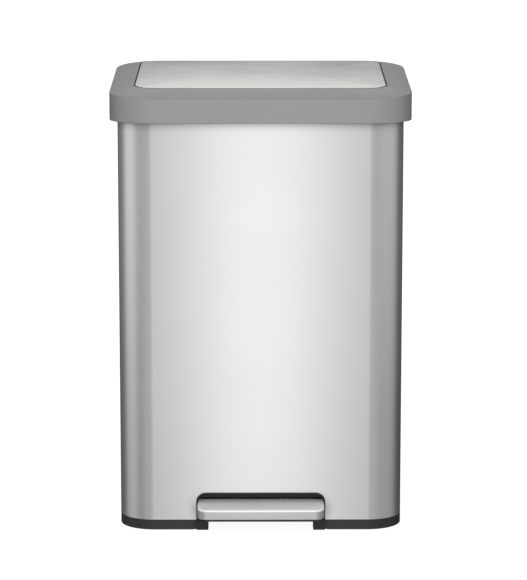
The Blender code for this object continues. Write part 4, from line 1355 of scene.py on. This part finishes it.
def build_tent():
    """A light tent that only reflections see: bright in front, and dim and striped at the sides."""
    shape = bmesh.new()
    bmesh.ops.create_cone(
        shape,
        cap_ends=False,
        segments=128,
        radius1=TENT_RADIUS,
        radius2=TENT_RADIUS,
        depth=TENT_HEIGHT,
        matrix=Matrix.Translation((0.0, 0.0, TENT_MIDDLE_Z)),
    )
    paint = bpy.data.materials.new("tent cloth")
    paint.use_nodes = True
    tree = paint.node_tree
    tree.nodes.clear()
    output = add_node(tree, "ShaderNodeOutputMaterial")
    glow = add_node(tree, "ShaderNodeEmission", {"Color": (1.0, 1.0, 1.0, 1.0)})
    place = add_node(tree, "ShaderNodeTexCoord")
    parts = add_node(tree, "ShaderNodeSeparateXYZ")
    tree.links.new(place.outputs["Object"], parts.inputs["Vector"])
    forward = calculate(tree, "MULTIPLY", parts.outputs["Y"], -1.0)
    angle = calculate(tree, "ARCTAN2", parts.outputs["X"], forward)
    turn = calculate(tree, "ADD", calculate(tree, "DIVIDE", angle, 2.0 * math.pi), 0.5)
    off_middle = calculate(tree, "ABSOLUTE", angle, 0.0)
    off_middle = calculate(tree, "DIVIDE", off_middle, math.radians(TENT_WINDOW_WIDTH))
    fall = calculate(tree, "MULTIPLY", calculate(tree, "POWER", off_middle, TENT_WINDOW_EDGE), -1.0)
    window = calculate(tree, "MULTIPLY", calculate(tree, "EXPONENT", fall, 0.0), TENT_WINDOW)
    curve = add_node(tree, "ShaderNodeFloatCurve")
    points = curve.mapping.curves[0].points
    brightest = max(value for _, value in TENT_GLOW)
    while len(points) < len(TENT_GLOW):
        points.new(0.5, 0.5)
    for point, (degrees, value) in zip(points, TENT_GLOW):
        point.location = (degrees / 360.0 + 0.5, value / brightest)
        point.handle_type = "AUTO"
    curve.mapping.update()
    tree.links.new(turn, curve.inputs["Value"])
    power = calculate(tree, "MULTIPLY", curve.outputs["Value"], brightest)
    power = calculate(tree, "ADD", power, window)
    for axis, band, heights, factors in TENT_FADES:
        reach = parts.outputs[axis]
        if axis == "X":
            reach = calculate(tree, "ABSOLUTE", reach, 0.0)
        inside = remap(tree, reach, 0.0, 1.0, *band, "SMOOTHERSTEP")
        factor = remap(tree, parts.outputs["Z"], *factors, *heights, "SMOOTHERSTEP")
        change = calculate(tree, "MULTIPLY", calculate(tree, "SUBTRACT", factor, 1.0), inside)
        power = calculate(tree, "MULTIPLY", power, calculate(tree, "ADD", change, 1.0))
    tree.links.new(power, glow.inputs["Strength"])
    tree.links.new(glow.outputs["Emission"], output.inputs["Surface"])
    tent = stage_object("light_tent", shape, paint)
    tent.visible_camera = False
    tent.visible_diffuse = False
    tent.visible_shadow = False
    tent.visible_transmission = False


def build_surround():
    """The pale room: its light comes mostly from the front, and less from above and the sides."""
    studio = bpy.context.scene.step_bin_studio
    world = bpy.data.worlds.new("surround")
    bpy.context.scene.world = world
    world.use_nodes = True
    tree = world.node_tree
    tree.nodes.clear()
    output = add_node(tree, "ShaderNodeOutputWorld")
    glow = add_node(tree, "ShaderNodeBackground", {"Strength": studio.room})
    place = add_node(tree, "ShaderNodeTexCoord")
    parts = add_node(tree, "ShaderNodeSeparateXYZ")
    tree.links.new(place.outputs["Generated"], parts.inputs["Vector"])
    front = calculate(tree, "MAXIMUM", calculate(tree, "MULTIPLY", parts.outputs["Y"], -1.0), 0.0)
    front = calculate(tree, "MULTIPLY", calculate(tree, "POWER", front, 3.0), studio.front_light)
    upper = calculate(tree, "MAXIMUM", parts.outputs["Z"], 0.0)
    upper = calculate(tree, "MULTIPLY", calculate(tree, "POWER", upper, 2.0), studio.top_light)
    total = calculate(tree, "ADD", calculate(tree, "ADD", front, upper), studio.side_light)
    seen = add_node(tree, "ShaderNodeLightPath")
    shown = add_node(tree, "ShaderNodeMix", {"A": 0.0, "B": 1.0}, data_type="FLOAT")
    tree.links.new(seen.outputs["Is Camera Ray"], shown.inputs["Factor"])
    tree.links.new(total, shown.inputs["A"])
    tree.links.new(shown.outputs["Result"], glow.inputs["Color"])
    tree.links.new(glow.outputs["Background"], output.inputs["Surface"])


CAMERA_X = -0.0086
CAMERA_Z = 0.9534
CAMERA_DOWN = 0.1674  # radians below level
CAMERA_TURN = -0.0036


def build_camera():
    studio = bpy.context.scene.step_bin_studio
    lens = bpy.data.cameras.new("camera")
    lens.lens = studio.lens
    lens.sensor_width = 36.0
    lens.clip_end = 200.0
    camera = bpy.data.objects.new("camera", lens)
    bpy.context.scene.collection.objects.link(camera)
    camera.location = (CAMERA_X, LID_LOW.y - studio.camera_distance, CAMERA_Z)
    camera.rotation_euler = (math.pi / 2 - CAMERA_DOWN, 0.0, CAMERA_TURN)
    bpy.context.scene.camera = camera
    bpy.context.scene.view_settings.view_transform = "Standard"


# ---------------------------------------------------------------- operators


class STEPBIN_OT_body(bpy.types.Operator):
    """Build the steel wrapped round the body, with its seam and pedal notch"""

    bl_idname = "stepbin.body"
    bl_label = "Body"

    def execute(self, context):
        build_body()
        build_back_seam()
        return {"FINISHED"}


class STEPBIN_OT_base(bpy.types.Operator):
    """Build the black base"""

    bl_idname = "stepbin.base"
    bl_label = "Base"

    def execute(self, context):
        build_base()
        return {"FINISHED"}


class STEPBIN_OT_opening(bpy.types.Operator):
    """Build the collar round the opening and the lift-out bucket"""

    bl_idname = "stepbin.opening"
    bl_label = "Collar and Bucket"

    def execute(self, context):
        build_collar()
        build_bucket()
        return {"FINISHED"}


class STEPBIN_OT_pedal(bpy.types.Operator):
    """Build the pedal and the black arch round it"""

    bl_idname = "stepbin.pedal"
    bl_label = "Pedal"

    def execute(self, context):
        build_pedal_surround()
        build_pedal_plate()
        build_pedal_body()
        return {"FINISHED"}


class STEPBIN_OT_lid(bpy.types.Operator):
    """Build the moulded lid, its steel sheet and its lining"""

    bl_idname = "stepbin.lid"
    bl_label = "Lid"

    def execute(self, context):
        build_lid_cover()
        build_lid_sheet()
        # painted shade: a black strip in the groove round the steel sheet
        build_groove_shade_strip()
        build_lid_lining()
        return {"FINISHED"}


class STEPBIN_OT_rear_cover(bpy.types.Operator):
    """Build the fixed cover round the hinge"""

    bl_idname = "stepbin.rear_cover"
    bl_label = "Rear Cover"

    def execute(self, context):
        build_rear_cover()
        return {"FINISHED"}


class STEPBIN_OT_works(bpy.types.Operator):
    """Finish the hinge, rod, lever and fasteners"""

    bl_idname = "stepbin.works"
    bl_label = "Hinge and Linkage"

    def execute(self, context):
        build_works()
        return {"FINISHED"}


class STEPBIN_OT_studio(bpy.types.Operator):
    """Set up the floor, the lights and the camera"""

    bl_idname = "stepbin.studio"
    bl_label = "Studio"

    def execute(self, context):
        build_floor()
        build_tent()
        build_surround()
        build_camera()
        return {"FINISHED"}


OPERATORS = (
    STEPBIN_OT_studio,
    STEPBIN_OT_body,
    STEPBIN_OT_base,
    STEPBIN_OT_opening,
    STEPBIN_OT_pedal,
    STEPBIN_OT_lid,
    STEPBIN_OT_rear_cover,
    STEPBIN_OT_works,
)
SETTINGS = (
    ("step_bin_shape", StepBinShape),
    ("step_bin_finish", StepBinFinish),
    ("step_bin_studio", StepBinStudio),
)


class STEPBIN_PT_sidebar(bpy.types.Panel):
    """Settings and buttons that build the step bin"""

    bl_idname = "STEPBIN_PT_sidebar"
    bl_label = "Step Bin"
    bl_space_type = "VIEW_3D"
    bl_region_type = "UI"
    bl_category = "Step Bin"

    def draw(self, context):
        layout = self.layout
        for holder, _ in SETTINGS:
            box = layout.box()
            settings = getattr(context.scene, holder)
            for name in settings.bl_rna.properties.keys():
                if name not in ("rna_type", "name"):
                    box.prop(settings, name)
        for operator in OPERATORS:
            layout.operator(operator.bl_idname)


def register():
    for holder, settings in SETTINGS:
        bpy.utils.register_class(settings)
        setattr(bpy.types.Scene, holder, bpy.props.PointerProperty(type=settings))
    for operator in OPERATORS:
        bpy.utils.register_class(operator)
    bpy.utils.register_class(STEPBIN_PT_sidebar)


def unregister():
    bpy.utils.unregister_class(STEPBIN_PT_sidebar)
    for operator in reversed(OPERATORS):
        bpy.utils.unregister_class(operator)
    for holder, settings in reversed(SETTINGS):
        delattr(bpy.types.Scene, holder)
        bpy.utils.unregister_class(settings)


def main():
    register()
    bpy.ops.stepbin.studio()
    bpy.ops.stepbin.body()
    bpy.ops.stepbin.base()
    bpy.ops.stepbin.opening()
    bpy.ops.stepbin.pedal()
    bpy.ops.stepbin.lid()
    bpy.ops.stepbin.rear_cover()
    bpy.ops.stepbin.works()


if __name__ == "__main__":
    main()
